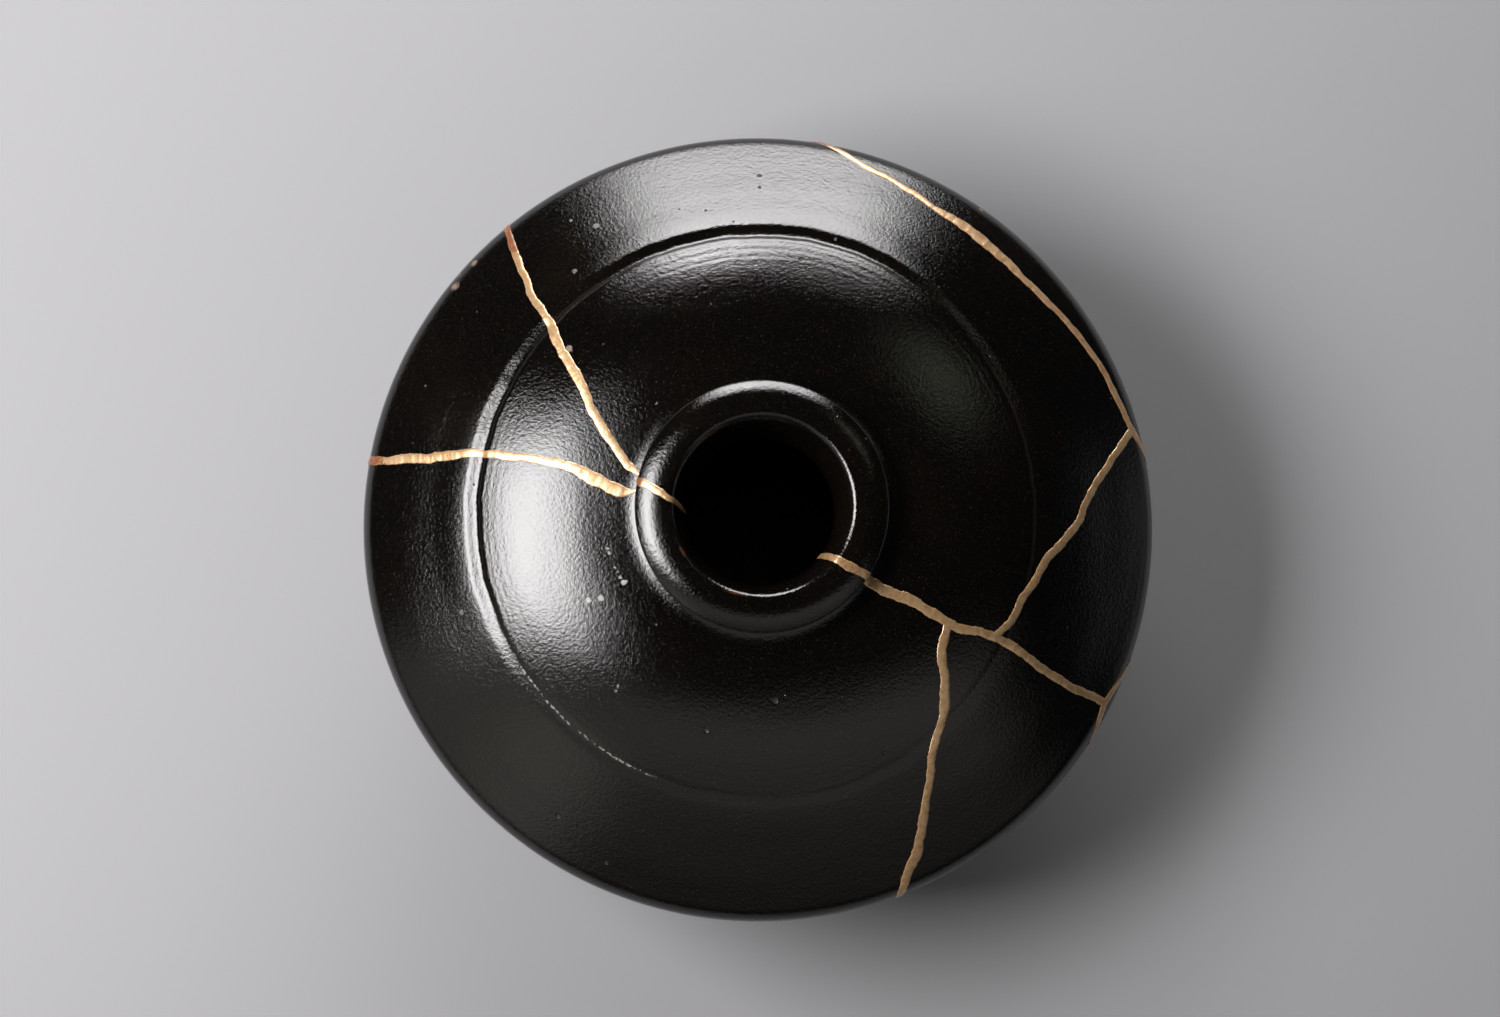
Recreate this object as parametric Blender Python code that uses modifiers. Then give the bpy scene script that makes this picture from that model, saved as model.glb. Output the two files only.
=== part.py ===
"""A squat stoneware jar, broken and mended with gold lacquer: five sherds and two branched joints.

The jar stands on its foot ring at the origin, with +Z up out of its mouth. It is one turned shape.
Crack walls, which stand square to the clay along each joint's route, cut it into sherds. Narrower
walls cut the gold joints out of a slightly larger jar, so that the gold stands proud of the glaze.
"""

import math

import bmesh
import bpy

# Driving dimensions, in metres.
BELLY_RADIUS = 0.140
BELLY_HEIGHT = 0.068
BELLY_ROUND = 0.009
SHOULDER_HEIGHT = 0.1162
NECK_BASE_RADIUS = 0.046
WAIST_RADIUS = 0.0395
FILLET_HEIGHT = 0.0028
LIP_HEIGHT = 0.1270
LIP_EDGE_RADIUS = 0.0436
LIP_ROLL = 0.0020
ROLL_DROP = 0.0042
LIP_CROWN_RADIUS = 0.0335
LIP_RIDGE_RADIUS = 0.0308
LIP_RIDGE_DROP = 0.0008
FUNNEL_DEPTH = 0.0075
THROAT_RADIUS = 0.0250
THROAT_HEIGHT = 0.1075
COLLAR_RADIUS = 0.0295
COLLAR_HEIGHT = 0.1045
WALL = 0.0062
WALL_AT_NECK = 0.0095
WALL_AT_FOOT = 0.0080
EVEN_WALL_RADIUS = 0.100
FOOT_RADIUS = 0.0610
FOOT_HEIGHT = 0.0065
FOOT_WIDTH = 0.0090
FOOT_CHAMFER = 0.0012
FOOT_FILLET = 0.0015
FLOOR_HEIGHT = 0.0140
RING_RADIUS = 0.0985
RING_WIDTH = 0.0025
RING_BULGE = 0.0011
RING_DEPTH = 0.0008
TURNING_STEPS = 40

# Slopes of the wall in degrees from level, where it leaves the neck, the belly edge and the foot,
# and how far each slope carries on before the wall bends.
SLOPE_AT_NECK = 9
SLOPE_ABOVE_BELLY = 36
SLOPE_BELOW_BELLY = 48
SLOPE_AT_FOOT = 26
REACH_AT_NECK = 0.035
REACH_ABOVE_BELLY = 0.042
REACH_BELOW_BELLY = 0.026
REACH_AT_FOOT = 0.030

# The gold joints.
SEAM_WIDTH = 0.0030
SEAM_RISE = 0.0004
SEAM_GAP = 0.0003

# A crack wall reaches past both faces of the clay: (distance along the wall, reach), both in metres.
REACH_OUT = [(0.046, 0.015), (0.064, 0.005)]
REACH_IN = [(0.046, 0.015), (0.126, 0.008), (0.147, 0.008), (0.219, 0.011)]
# It stands upright at the neck, and square to the clay from the second of these distances on.
UPRIGHT_TO = 0.046
SQUARE_FROM = 0.069
# Each further wall of a joint reaches out a little more, so that no two edges coincide.
REACH_MORE = 0.0007

# Longest step along a route, and the shorter one where the wall turns over the belly, in millimetres.
ROUTE_STEP = 20
BELLY_STEP = 5

# Routes of the joints: (bearing in degrees from +X, distance from the axis in millimetres). The
# distance runs on over the belly edge: past EDGE it counts back inwards, along the underside.
EDGE = 1000 * BELLY_RADIUS
LEFT_ROUTES = {
    "lip": [(184, 19), (180, 28), (172, 36), (167.5, 46)],
    "ring": [
        (167.5, 46), (172.5, 49), (169.6, 60), (167.3, 70), (167.3, 87), (170.3, 125), (170.8, EDGE),
        (170, 158), (164, 174), (155, 182), (143, 178), (134, 167), (130, 152), (130, EDGE),
        (132.7, 127), (136, 109), (139.6, 93), (144, 78), (151, 65), (162, 48.5),
    ],
}
RIGHT_ROUTES = {
    "spine": [
        (318.5, 19), (323, 31.4), (326.5, 42.6), (325.4, 46), (328.8, 59), (328.8, 75), (332.3, 92),
        (332.5, 137.6),
    ],
    "middle": [(332.3, 91), (341.5, 95.5), (350.8, 100), (359, 111), (3.5, 115), (10.4, 127), (14, 136.2)],
    "strip": [
        (9, EDGE), (14.3, 137), (23, 134), (41.5, 128), (61, 128.5), (74, 134), (82, EDGE),
        (85.8, 146), (86.5, 153), (84.5, 160), (79, 166), (66, 172), (45, 175), (24, 173),
        (12, 168.5), (7, 163), (4.3, 156), (4.8, 148),
    ],
    "lower": [
        (328.8, 75), (320.8, 80), (315, 90), (305.8, 101.5), (295.4, 128), (290.5, EDGE),
        (289.5, 150), (290.5, 158), (295, 165), (304, 169), (312, 168), (318, 163), (322, 156),
        (324.8, 147), (326.5, EDGE), (329.5, 138.8), (332.5, 137.6),
    ],
    "edge": [
        (332.5, 137.6), (336, 138.8), (340, EDGE), (343.5, 147), (349, 153), (356, 155), (364.4, 151.5),
    ],
}
CLOSED_ROUTES = ("ring", "strip")

# A place on each sherd, given as in the routes, which tells the pieces apart.
SHERD_PLACES = {
    "jar_body": (240, 100),
    "sherd_left": (155, 110),
    "sherd_upper_right": (45, 138),
    "sherd_right": (350, 120),
    "sherd_lower_right": (310, 120),
}

GLAZE_COLOUR = (0.010, 0.008, 0.006)
GLAZE_ROUGHNESS = 0.12
GOLD_COLOUR = (0.72, 0.47, 0.20)
GOLD_ROUGHNESS = 0.45


def bezier(start, start_heading, start_reach, end, end_heading, end_reach, count):
    """Points of a cubic that leaves start and reaches end on the headings, in degrees from +X to +Z."""
    a, b = math.radians(start_heading), math.radians(end_heading)
    one = (start[0] + start_reach * math.cos(a), start[1] + start_reach * math.sin(a))
    two = (end[0] - end_reach * math.cos(b), end[1] - end_reach * math.sin(b))
    points = []
    for step in range(count + 1):
        t = step / count
        shares = ((1 - t) ** 3, 3 * t * (1 - t) ** 2, 3 * t * t * (1 - t), t**3)
        pulls = [(share * x, share * z) for share, (x, z) in zip(shares, (start, one, two, end))]
        points.append((sum(x for x, _ in pulls), sum(z for _, z in pulls)))
    return points


def arc(centre, radius, first, last, count):
    """Points on a circle from one angle to another, in degrees from +X to +Z."""
    angles = [math.radians(first + (last - first) * step / count) for step in range(count + 1)]
    return [(centre[0] + radius * math.cos(a), centre[1] + radius * math.sin(a)) for a in angles]


def between(value, low, high):
    """How far value lies from low to high, kept from 0 to 1."""
    return min(max((value - low) / (high - low), 0), 1)


def graded(distance, stops):
    """The value at a distance that changes evenly from stop to stop, and stays level past the ends."""
    value = stops[0][1]
    for (near, low), (far, high) in zip(stops, stops[1:]):
        value += (high - low) * between(distance, near, far)
    return value


def wall_line(shoulder_count, belly_count, underside_count):
    """The outer face of the plain wall, from the neck over the shoulder and belly down to the foot."""
    centre = (BELLY_RADIUS - BELLY_ROUND, BELLY_HEIGHT)
    belly = arc(centre, BELLY_ROUND, 90 - SLOPE_ABOVE_BELLY, SLOPE_BELOW_BELLY - 90, belly_count)
    neck = (NECK_BASE_RADIUS, SHOULDER_HEIGHT)
    foot = (FOOT_RADIUS + FOOT_FILLET, FOOT_HEIGHT + FOOT_FILLET)
    shoulder = bezier(
        neck, -SLOPE_AT_NECK, REACH_AT_NECK, belly[0], -SLOPE_ABOVE_BELLY, REACH_ABOVE_BELLY, shoulder_count
    )
    underside = bezier(
        belly[-1], 180 + SLOPE_BELOW_BELLY, REACH_BELOW_BELLY, foot, 180 + SLOPE_AT_FOOT, REACH_AT_FOOT,
        underside_count,
    )
    return shoulder + belly[1:] + underside[1:]


def face_normals(line):
    """The outward direction at each point of a line that has the clay on its right."""
    normals = []
    for index in range(len(line)):
        before, after = line[max(index - 1, 0)], line[min(index + 1, len(line) - 1)]
        run, climb = after[0] - before[0], after[1] - before[1]
        length = math.hypot(run, climb)
        normals.append((-climb / length, run / length))
    return normals


def offset(line, distances):
    """The line with each point moved outwards by its own distance, and points on the axis kept on it."""
    moved = []
    for (x, z), (nx, nz), distance in zip(line, face_normals(line), distances):
        moved.append((x + distance * nx if x else 0, z + distance * nz))
    return moved


def wall_thickness(x, z):
    """The wall is even out at the belly, and thicker towards the neck and the foot."""
    above = z > BELLY_HEIGHT
    thick, inner = (WALL_AT_NECK, NECK_BASE_RADIUS) if above else (WALL_AT_FOOT, FOOT_RADIUS)
    return thick + (WALL - thick) * between(x, inner, EVEN_WALL_RADIUS)


def inside_profile():
    """The inner face, from the middle of the floor up to the funnel of the mouth."""
    outer = wall_line(4, 2, 2)
    inner = offset(outer, [-wall_thickness(x, z) for x, z in outer])
    collar = (COLLAR_RADIUS, COLLAR_HEIGHT)
    throat = (THROAT_RADIUS, THROAT_HEIGHT)
    funnel_top = LIP_HEIGHT - FUNNEL_DEPTH
    climb = (funnel_top - THROAT_HEIGHT) / (LIP_HEIGHT - LIP_RIDGE_DROP - THROAT_HEIGHT)
    funnel = (THROAT_RADIUS + (LIP_RIDGE_RADIUS - THROAT_RADIUS) * climb**0.7, funnel_top)
    return [(0, FLOOR_HEIGHT)] + inner[::-1] + [collar, throat, funnel]


def with_ring(line):
    """The outer face with the shallow step that one throwing ring leaves in the shoulder."""
    shoulder = [point for point in line if point[1] > BELLY_HEIGHT]
    inner = [point for point in shoulder if point[0] < RING_RADIUS - RING_WIDTH]
    outer = [point for point in shoulder if point[0] > RING_RADIUS + RING_WIDTH]
    (x0, z0), (x1, z1) = inner[-1], outer[0]
    slope = (z1 - z0) / (x1 - x0)
    crest_radius = RING_RADIUS - RING_WIDTH / 2
    groove_radius = RING_RADIUS + RING_WIDTH / 2
    crest = (crest_radius, z0 + slope * (crest_radius - x0) + RING_BULGE)
    groove = (groove_radius, z0 + slope * (groove_radius - x0) + RING_BULGE - RING_DEPTH)
    return inner + [crest, groove] + outer + line[len(shoulder):]


def outside_profile():
    """The outer face, from the ridge in the mouth over the rolled lip down to the middle of the base."""
    ridge = (LIP_RIDGE_RADIUS, LIP_HEIGHT - LIP_RIDGE_DROP)
    crown = (LIP_CROWN_RADIUS, LIP_HEIGHT)
    roll = arc((LIP_EDGE_RADIUS - LIP_ROLL, LIP_HEIGHT - ROLL_DROP), LIP_ROLL, 62, -58, 3)
    waist = (WAIST_RADIUS, SHOULDER_HEIGHT + FILLET_HEIGHT)
    fillet = (WAIST_RADIUS + FILLET_HEIGHT, SHOULDER_HEIGHT + FILLET_HEIGHT / 3)
    foot_inside = FOOT_RADIUS - FOOT_WIDTH
    foot = [
        (FOOT_RADIUS, FOOT_HEIGHT - FOOT_FILLET),
        (FOOT_RADIUS, FOOT_CHAMFER),
        (FOOT_RADIUS - FOOT_CHAMFER, 0),
        (foot_inside + FOOT_CHAMFER, 0),
        (foot_inside, FOOT_CHAMFER),
        (foot_inside, FOOT_HEIGHT),
        (0, FOOT_HEIGHT),
    ]
    return [ridge, crown] + roll + [waist, fillet] + with_ring(wall_line(6, 4, 4)) + foot


def run_on(start, end, length):
    """The point that lies this far past the end of a straight line."""
    share = length / math.dist(start, end)
    return tuple(b + share * (b - a) for a, b in zip(start, end))


def route_places(route, closed, width):
    """The route in short steps, straight as laid out flat. An open end runs on by half the width."""
    corners = [(r * math.cos(math.radians(b)), r * math.sin(math.radians(b))) for b, r in route]
    if not closed:
        corners[0] = run_on(corners[1], corners[0], 1000 * width / 2)
        corners[-1] = run_on(corners[-2], corners[-1], 1000 * width / 2)
    ends = corners[1:] + corners[:1] if closed else corners[1:]
    places = []
    for (x0, y0), (x1, y1) in zip(corners, ends):
        near_edge = min(abs(math.hypot(x0, y0) - EDGE), abs(math.hypot(x1, y1) - EDGE)) < BELLY_STEP
        steps = math.ceil(math.dist((x0, y0), (x1, y1)) / (BELLY_STEP if near_edge else ROUTE_STEP))
        places += [(x0 + (x1 - x0) * k / steps, y0 + (y1 - y0) * k / steps) for k in range(steps)]
    if not closed:
        places.append(corners[-1])
    return [(math.atan2(y, x), math.hypot(x, y) / 1000) for x, y in places]


def wall_place(distance):
    """The radius, height and outward direction of the wall at a distance counted over the belly edge."""
    line = wall_line(14, 8, 10)
    if distance <= line[0][0]:
        return (distance, SHOULDER_HEIGHT), (0, 1)
    normals = face_normals(line)
    spans = [x if z >= BELLY_HEIGHT else 2 * BELLY_RADIUS - x for x, z in line]
    index = next(k for k in range(len(spans) - 1) if distance <= spans[k + 1])
    share = between(distance, spans[index], spans[index + 1])
    near, far = line[index] + normals[index], line[index + 1] + normals[index + 1]
    x, z, nx, nz = [a + share * (b - a) for a, b in zip(near, far)]
    lean = nx * between(distance, UPRIGHT_TO, SQUARE_FROM)
    return (x, z), (lean, math.copysign(math.sqrt(1 - lean * lean), nz))


def crack_section(distance, extra):
    """The outer and inner end of a crack wall's cross-section, which stands square to the clay."""
    (x, z), (nx, nz) = wall_place(distance)
    out = graded(distance, REACH_OUT) + extra
    deep = graded(distance, REACH_IN) + extra / 10
    return (x + out * nx, z + out * nz), (x - deep * nx, z - deep * nz)


def crack_points(route, closed, width, extra):
    """The outer and inner edge of a crack wall along its route."""
    edges = [], []
    for bearing, distance in route_places(route, closed, width):
        for edge, (radius, height) in zip(edges, crack_section(distance, extra)):
            edge.append((radius * math.cos(bearing), radius * math.sin(bearing), height))
    return edges


def crack_wall(name, route, closed, width, extra, collection):
    """One crack wall of constant width. Its extra reach keeps its edges off those of its neighbours."""
    outer, inner = crack_points(route, closed, width, extra)
    count = len(outer)
    steps = [(k, (k + 1) % count) for k in range(count if closed else count - 1)]
    mesh = bpy.data.meshes.new(name)
    faces = [face for a, b in steps for face in ((a, b, count + b), (a, count + b, count + a))]
    mesh.from_pydata(outer + inner, [], faces)
    wall = new_object(name, mesh, collection)
    hide_helper(wall)
    solidify = wall.modifiers.new("width", "SOLIDIFY")
    solidify.thickness = width
    solidify.offset = 0
    solidify.use_even_offset = True
    return wall


def crack_network(name, routes, width, collection):
    """All crack walls of one branched joint, joined into one."""
    walls = []
    for order, (key, route) in enumerate(routes.items()):
        closed = key in CLOSED_ROUTES
        walls.append(crack_wall(f"{name}_{key}", route, closed, width, REACH_MORE * order, collection))
    for wall in walls[1:]:
        boolean(walls[0], wall, "UNION")
    return walls[0]


def new_object(name, mesh, collection):
    thing = bpy.data.objects.new(name, mesh)
    collection.objects.link(thing)
    return thing


def hide_helper(thing):
    thing.hide_render = True
    thing.display_type = "WIRE"


def turned(name, profile, collection):
    """A closed round shape from a profile that starts and ends on the axis."""
    mesh = bpy.data.meshes.new(name)
    edges = [(index, index + 1) for index in range(len(profile) - 1)]
    mesh.from_pydata([(x, 0, z) for x, z in profile], edges, [])
    thing = new_object(name, mesh, collection)
    screw = thing.modifiers.new("turning", "SCREW")
    screw.steps = TURNING_STEPS
    screw.render_steps = TURNING_STEPS
    screw.use_merge_vertices = True
    screw.merge_threshold = 0.00001
    return thing


def boolean(thing, other, operation):
    """EXACT leaves open edges where a joint's walls meet and close on themselves, so this is MANIFOLD."""
    modifier = thing.modifiers.new(f"{operation.lower()} {other.name}", "BOOLEAN")
    modifier.operation = operation
    modifier.solver = "MANIFOLD"
    modifier.object = other


def evaluated_copy(thing):
    """A bmesh of the object with all its modifiers applied."""
    copy = bmesh.new()
    copy.from_object(thing, bpy.context.evaluated_depsgraph_get())
    copy.faces.index_update()
    return copy


def bodies_of(whole):
    """The faces of each separate body in a bmesh, largest body first."""
    waiting = set(whole.faces)
    bodies = []
    while waiting:
        front = [waiting.pop()]
        body = set(front)
        while front:
            for edge in front.pop().edges:
                for face in edge.link_faces:
                    if face not in body:
                        body.add(face)
                        front.append(face)
        waiting -= body
        bodies.append(body)
    return sorted(bodies, key=len, reverse=True)


def body_at(bodies, bearing, distance):
    """The body with a corner nearest to a place on the outer face."""
    (x, z), _ = wall_place(distance / 1000)
    angle = math.radians(bearing)
    place = (x * math.cos(angle), x * math.sin(angle), z)
    return min(bodies, key=lambda body: min(math.dist(place, v.co) for face in body for v in face.verts))


def piece_of(whole, body, name, collection):
    """A new object that holds one body of a bmesh."""
    keep = {face.index for face in body}
    part = whole.copy()
    part.faces.ensure_lookup_table()
    others = [face for index, face in enumerate(part.faces) if index not in keep]
    bmesh.ops.delete(part, geom=others, context="FACES")
    mesh = bpy.data.meshes.new(name)
    part.to_mesh(mesh)
    part.free()
    return new_object(name, mesh, collection)


def finish(thing, material_name, colour, roughness, metallic):
    """Gives the piece its own plain material and smooth turned faces."""
    material = bpy.data.materials.new(f"{thing.name}_{material_name}")
    material.use_nodes = True
    shader = material.node_tree.nodes["Principled BSDF"]
    shader.inputs["Base Color"].default_value = (*colour, 1)
    shader.inputs["Roughness"].default_value = roughness
    shader.inputs["Metallic"].default_value = metallic
    material.diffuse_color = (*colour, 1)
    thing.data.materials.clear()
    thing.data.materials.append(material)
    thing.data.shade_smooth()
    thing.data.set_sharp_from_angle(angle=math.radians(35))


def make_sherds(profile, cutters, parts):
    """Cuts the jar along both networks and makes one object of each sherd."""
    jar = turned("whole_jar", profile, cutters)
    hide_helper(jar)
    slit = SEAM_WIDTH + 2 * SEAM_GAP
    boolean(jar, crack_network("left_slit", LEFT_ROUTES, slit, cutters), "DIFFERENCE")
    boolean(jar, crack_network("right_slit", RIGHT_ROUTES, slit, cutters), "DIFFERENCE")
    whole = evaluated_copy(jar)
    bodies = bodies_of(whole)
    for name, place in SHERD_PLACES.items():
        sherd = piece_of(whole, body_at(bodies, *place), name, parts)
        finish(sherd, "glaze", GLAZE_COLOUR, GLAZE_ROUGHNESS, 0)
    whole.free()


def make_seam(side, routes, profile, cutters, parts):
    """Cuts one gold joint out of the slightly larger jar."""
    proud = offset(profile, [SEAM_RISE] * len(profile))
    seam = turned(f"gold_seam_{side}", proud, parts)
    boolean(seam, crack_network(f"{side}_fill", routes, SEAM_WIDTH, cutters), "INTERSECT")
    finish(seam, "gold", GOLD_COLOUR, GOLD_ROUGHNESS, 1)


def main():
    for thing in list(bpy.data.objects):
        bpy.data.objects.remove(thing)
    parts = bpy.data.collections.new("kintsugi_jar")
    cutters = bpy.data.collections.new("cutters")
    bpy.context.scene.collection.children.link(parts)
    bpy.context.scene.collection.children.link(cutters)
    profile = inside_profile() + outside_profile()
    make_sherds(profile, cutters, parts)
    make_seam("left", LEFT_ROUTES, profile, cutters, parts)
    make_seam("right", RIGHT_ROUTES, profile, cutters, parts)


main()
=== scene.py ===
import math

import bmesh
import bpy
import numpy as np
from mathutils import Matrix, Vector
from mathutils.geometry import delaunay_2d_cdt


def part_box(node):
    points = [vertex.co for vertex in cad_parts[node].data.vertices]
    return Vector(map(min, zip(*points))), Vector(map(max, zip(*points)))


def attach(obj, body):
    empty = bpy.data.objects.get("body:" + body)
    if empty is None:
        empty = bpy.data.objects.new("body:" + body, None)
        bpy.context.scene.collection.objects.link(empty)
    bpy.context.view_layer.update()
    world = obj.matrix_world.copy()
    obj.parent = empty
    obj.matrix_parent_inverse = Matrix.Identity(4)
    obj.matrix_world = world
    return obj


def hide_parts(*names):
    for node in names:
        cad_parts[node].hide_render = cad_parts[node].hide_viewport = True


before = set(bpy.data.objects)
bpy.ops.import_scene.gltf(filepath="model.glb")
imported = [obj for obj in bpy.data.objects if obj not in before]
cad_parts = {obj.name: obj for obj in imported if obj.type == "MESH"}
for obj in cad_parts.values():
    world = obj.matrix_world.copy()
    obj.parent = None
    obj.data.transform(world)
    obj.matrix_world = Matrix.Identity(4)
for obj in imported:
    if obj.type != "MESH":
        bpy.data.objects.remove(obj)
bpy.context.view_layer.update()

mm = 0.001
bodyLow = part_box("jar_body")[0]


def say(words):
    print("kintsugi jar:", words)


# The turned wall
# All sizes of the jar are in millimetres, and its belly is as wide as the frame allows. A place on
# the section is (radius, height).

jar = {
    "bellyRadius": -bodyLow.y / mm - 0.12,    # the rest is room for the relief
    "bellyHeight": 68.0,
    "bellyRound": 9.0,            # radius of the belly edge in section
    "slopeAtNeck": 8,             # slopes in degrees from level
    "slopeAboveBelly": 36,
    "slopeBelowBelly": 48,
    "slopeAtFoot": 26,
    "neckBase": (48.5, 115.8),    # where the shoulder begins
    "waist": (41.2, 119.4),
    "filletReach": 44.4,          # from here on the fillet shows beyond the lip
    "lipEdge": (43.6, 122.7),     # outermost point of the lip
    "lipEdgeRound": 1.1,
    "lipTuck": 62,                # how far its edge turns under, in degrees below level
    "lipSlope": 36,
    "lipMiddle": (37.0, 126.0),
    "lipRidge": (32.6, 124.4),    # centre of the round inner rim
    "ridgeRound": 2.6,
    "ridgeArc": (137, 86),        # where that round begins and ends, in degrees
    "ridgeInside": (30.7, 126.2),
    "throat": (25.2, 107.6),
    "collar": (29.5, 104.6),      # inside, below the throat
    "collarBulge": 1.2,
    "wallAtNeck": 9.3,
    "wallAtBelly": 6.2,
    "wallAtFoot": 8.0,
    "evenWall": ((100, 98), (110, 37)),       # between these places the wall is even
    "footRadius": 61.0,
    "footHeight": 6.5,
    "footWidth": 9.0,
    "footRound": 1.2,
    "footFillet": 1.5,
    "footRecess": 3.0,            # size of the bend inside the ring
    "baseDome": 0.8,
    "floorHeight": 14.0,
}
footTop = (jar["footRadius"] + jar["footFillet"], jar["footHeight"] + jar["footFillet"])

# Curves of the section: the heading at the start in degrees and the reach for which it is held, the
# same for the end, and the number of points
bends = {
    "funnel": (86, 10, 47, 3, 80),
    "crown": (-4, 4.5, -jar["lipSlope"], 4.0, 60),
    "undercut": (-90 - jar["lipTuck"], 1.0, -92, 0.8, 24),
    "fillet": (-82, 2.0, -jar["slopeAtNeck"], 4.6, 40),
    "shoulder": (-jar["slopeAtNeck"], 35, -jar["slopeAboveBelly"], 42, 200),
    "underside": (180 + jar["slopeBelowBelly"], 26, 180 + jar["slopeAtFoot"], 30, 160),
    "footSide": (180 + jar["slopeAtFoot"], 0.8, -90, 1.2, 10),
    "footInside": (90, 3.2, 180, 1.6, 12),
}
grain = {
    "columns": 420,               # faces round the outside
    "insideShare": 3,             # outside faces to each inside one
    "sectionStep": 0.1,
    "shoulderStep": 1.35,
    "bellyStep": 0.95,
    "undersideStep": 3.0,
    "insideStep": 5.0,
    "bandEnd": (84, 22),          # the cracks lie between the waist and this place
    "margin": 0.45,               # share of a cell that it keeps clear of a crack to stay whole
}


def arcLine(centre, radius, first, last, count):
    # points on a circle: centre plus radius times the cosine and sine of angles from first to last
    angle = np.radians(np.linspace(first, last, count))
    return np.column_stack([centre[0] + radius * np.cos(angle), centre[1] + radius * np.sin(angle)])


def pointing(heading):
    # unit vector of a heading: its cosine outwards and its sine up
    return np.array([math.cos(math.radians(heading)), math.sin(math.radians(heading))])


def bendLine(name, start, end):
    # a cubic from start to end: (1-t)^3 and t^3 weigh the ends, 3t(1-t)^2 and 3t^2(1-t) the points
    # that lie ahead of the start and short of the end by their reaches
    startHeading, startReach, endHeading, endReach, count = bends[name]
    start, end = np.array(start), np.array(end)
    one = start + startReach * pointing(startHeading)
    two = end - endReach * pointing(endHeading)
    t = np.linspace(0, 1, count)[:, None]
    return (1 - t) ** 3 * start + 3 * t * (1 - t) ** 2 * one + 3 * t * t * (1 - t) * two + t**3 * end


def joinLines(*lines):
    # one line of all the points, without those that repeat the one before
    points = np.vstack(lines)
    step = np.hypot(*np.diff(points, axis=0).T)
    return points[np.concatenate([[True], step > 1e-4])]


def distanceAlong(points):
    # distance from the start of a line to each of its points: the sum of the steps before it
    return np.concatenate([[0], np.cumsum(np.hypot(*np.diff(points, axis=0).T))])


def evenLine(points, step):
    # the same line with its points an even step apart
    length = distanceAlong(points)
    at = np.linspace(0, length[-1], int(round(length[-1] / step)) + 1)
    return np.column_stack([np.interp(at, length, points[:, 0]), np.interp(at, length, points[:, 1])])


def outsideLine():
    # mouth to base: funnel, bead, crown, lip edge, waist, shoulder, belly edge, underside and foot
    # ring, each an arc or a cubic that starts where the one before ends
    bead = arcLine(jar["lipRidge"], jar["ridgeRound"], *jar["ridgeArc"], 24)
    edgeRound = jar["lipEdgeRound"]
    edgeCentre = (jar["lipEdge"][0] - edgeRound, jar["lipEdge"][1])
    edgeTurn = arcLine(edgeCentre, edgeRound, 90 - jar["lipSlope"], -jar["lipTuck"], 20)
    bellyCentre = (jar["bellyRadius"] - jar["bellyRound"], jar["bellyHeight"])
    bellyStart, bellyEnd = 90 - jar["slopeAboveBelly"], jar["slopeBelowBelly"] - 90
    belly = arcLine(bellyCentre, jar["bellyRound"], bellyStart, bellyEnd, 60)
    outer, inner, turn = jar["footRadius"], jar["footRadius"] - jar["footWidth"], jar["footRound"]
    return joinLines(
        bendLine("funnel", jar["throat"], bead[0]),
        bead,
        bendLine("crown", bead[-1], edgeTurn[0]),
        edgeTurn,
        bendLine("undercut", edgeTurn[-1], jar["waist"]),
        bendLine("fillet", jar["waist"], jar["neckBase"]),
        bendLine("shoulder", jar["neckBase"], belly[0]),
        belly,
        bendLine("underside", belly[-1], footTop),
        bendLine("footSide", footTop, (outer, jar["footHeight"] - jar["footFillet"])),
        arcLine((outer - turn, turn), turn, 0, -90, 8),
        arcLine((inner + turn, turn), turn, -90, -180, 8),
        bendLine("footInside", (inner, turn), (inner - jar["footRecess"], jar["footHeight"])),
        np.array([[0.0, jar["footHeight"] + jar["baseDome"]]]),
    )


def nearest(line, point):
    # number of the point of a line that is nearest to a given one
    return int(np.argmin(np.hypot(*(line - point).T)))


outside = evenLine(outsideLine(), grain["sectionStep"])
neckIndex = nearest(outside, jar["neckBase"])

# The tape distance runs along the outside. It counts the radius at the neck base and grows outwards.
outsideTape = distanceAlong(outside)
outsideTape += jar["neckBase"][0] - outsideTape[neckIndex]


def tapeAt(place):
    # tape distance of the place on the outside nearest to a place of the section
    return outsideTape[nearest(outside, place)]


throatTape = outsideTape[0]
waistTape = tapeAt(jar["waist"])
neckTape = tapeAt(jar["neckBase"])
bellyTape = tapeAt((jar["bellyRadius"], jar["bellyHeight"]))
bandEndTape = tapeAt(grain["bandEnd"])
footTopTape = tapeAt(footTop)
lastTape = outsideTape[-1]

heading = np.gradient(outside, axis=0)
heading /= np.hypot(*heading.T)[:, None]
outsideNormal = np.column_stack([-heading[:, 1], heading[:, 0]])

# Wall thickness, square to the outside: thick at the neck and foot, even at the belly.
thicknessStops = (
    (neckTape, jar["wallAtNeck"]),
    (tapeAt(jar["evenWall"][0]), jar["wallAtBelly"]),
    (tapeAt(jar["evenWall"][1]), jar["wallAtBelly"]),
    (footTopTape, jar["wallAtFoot"]),
)


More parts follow.
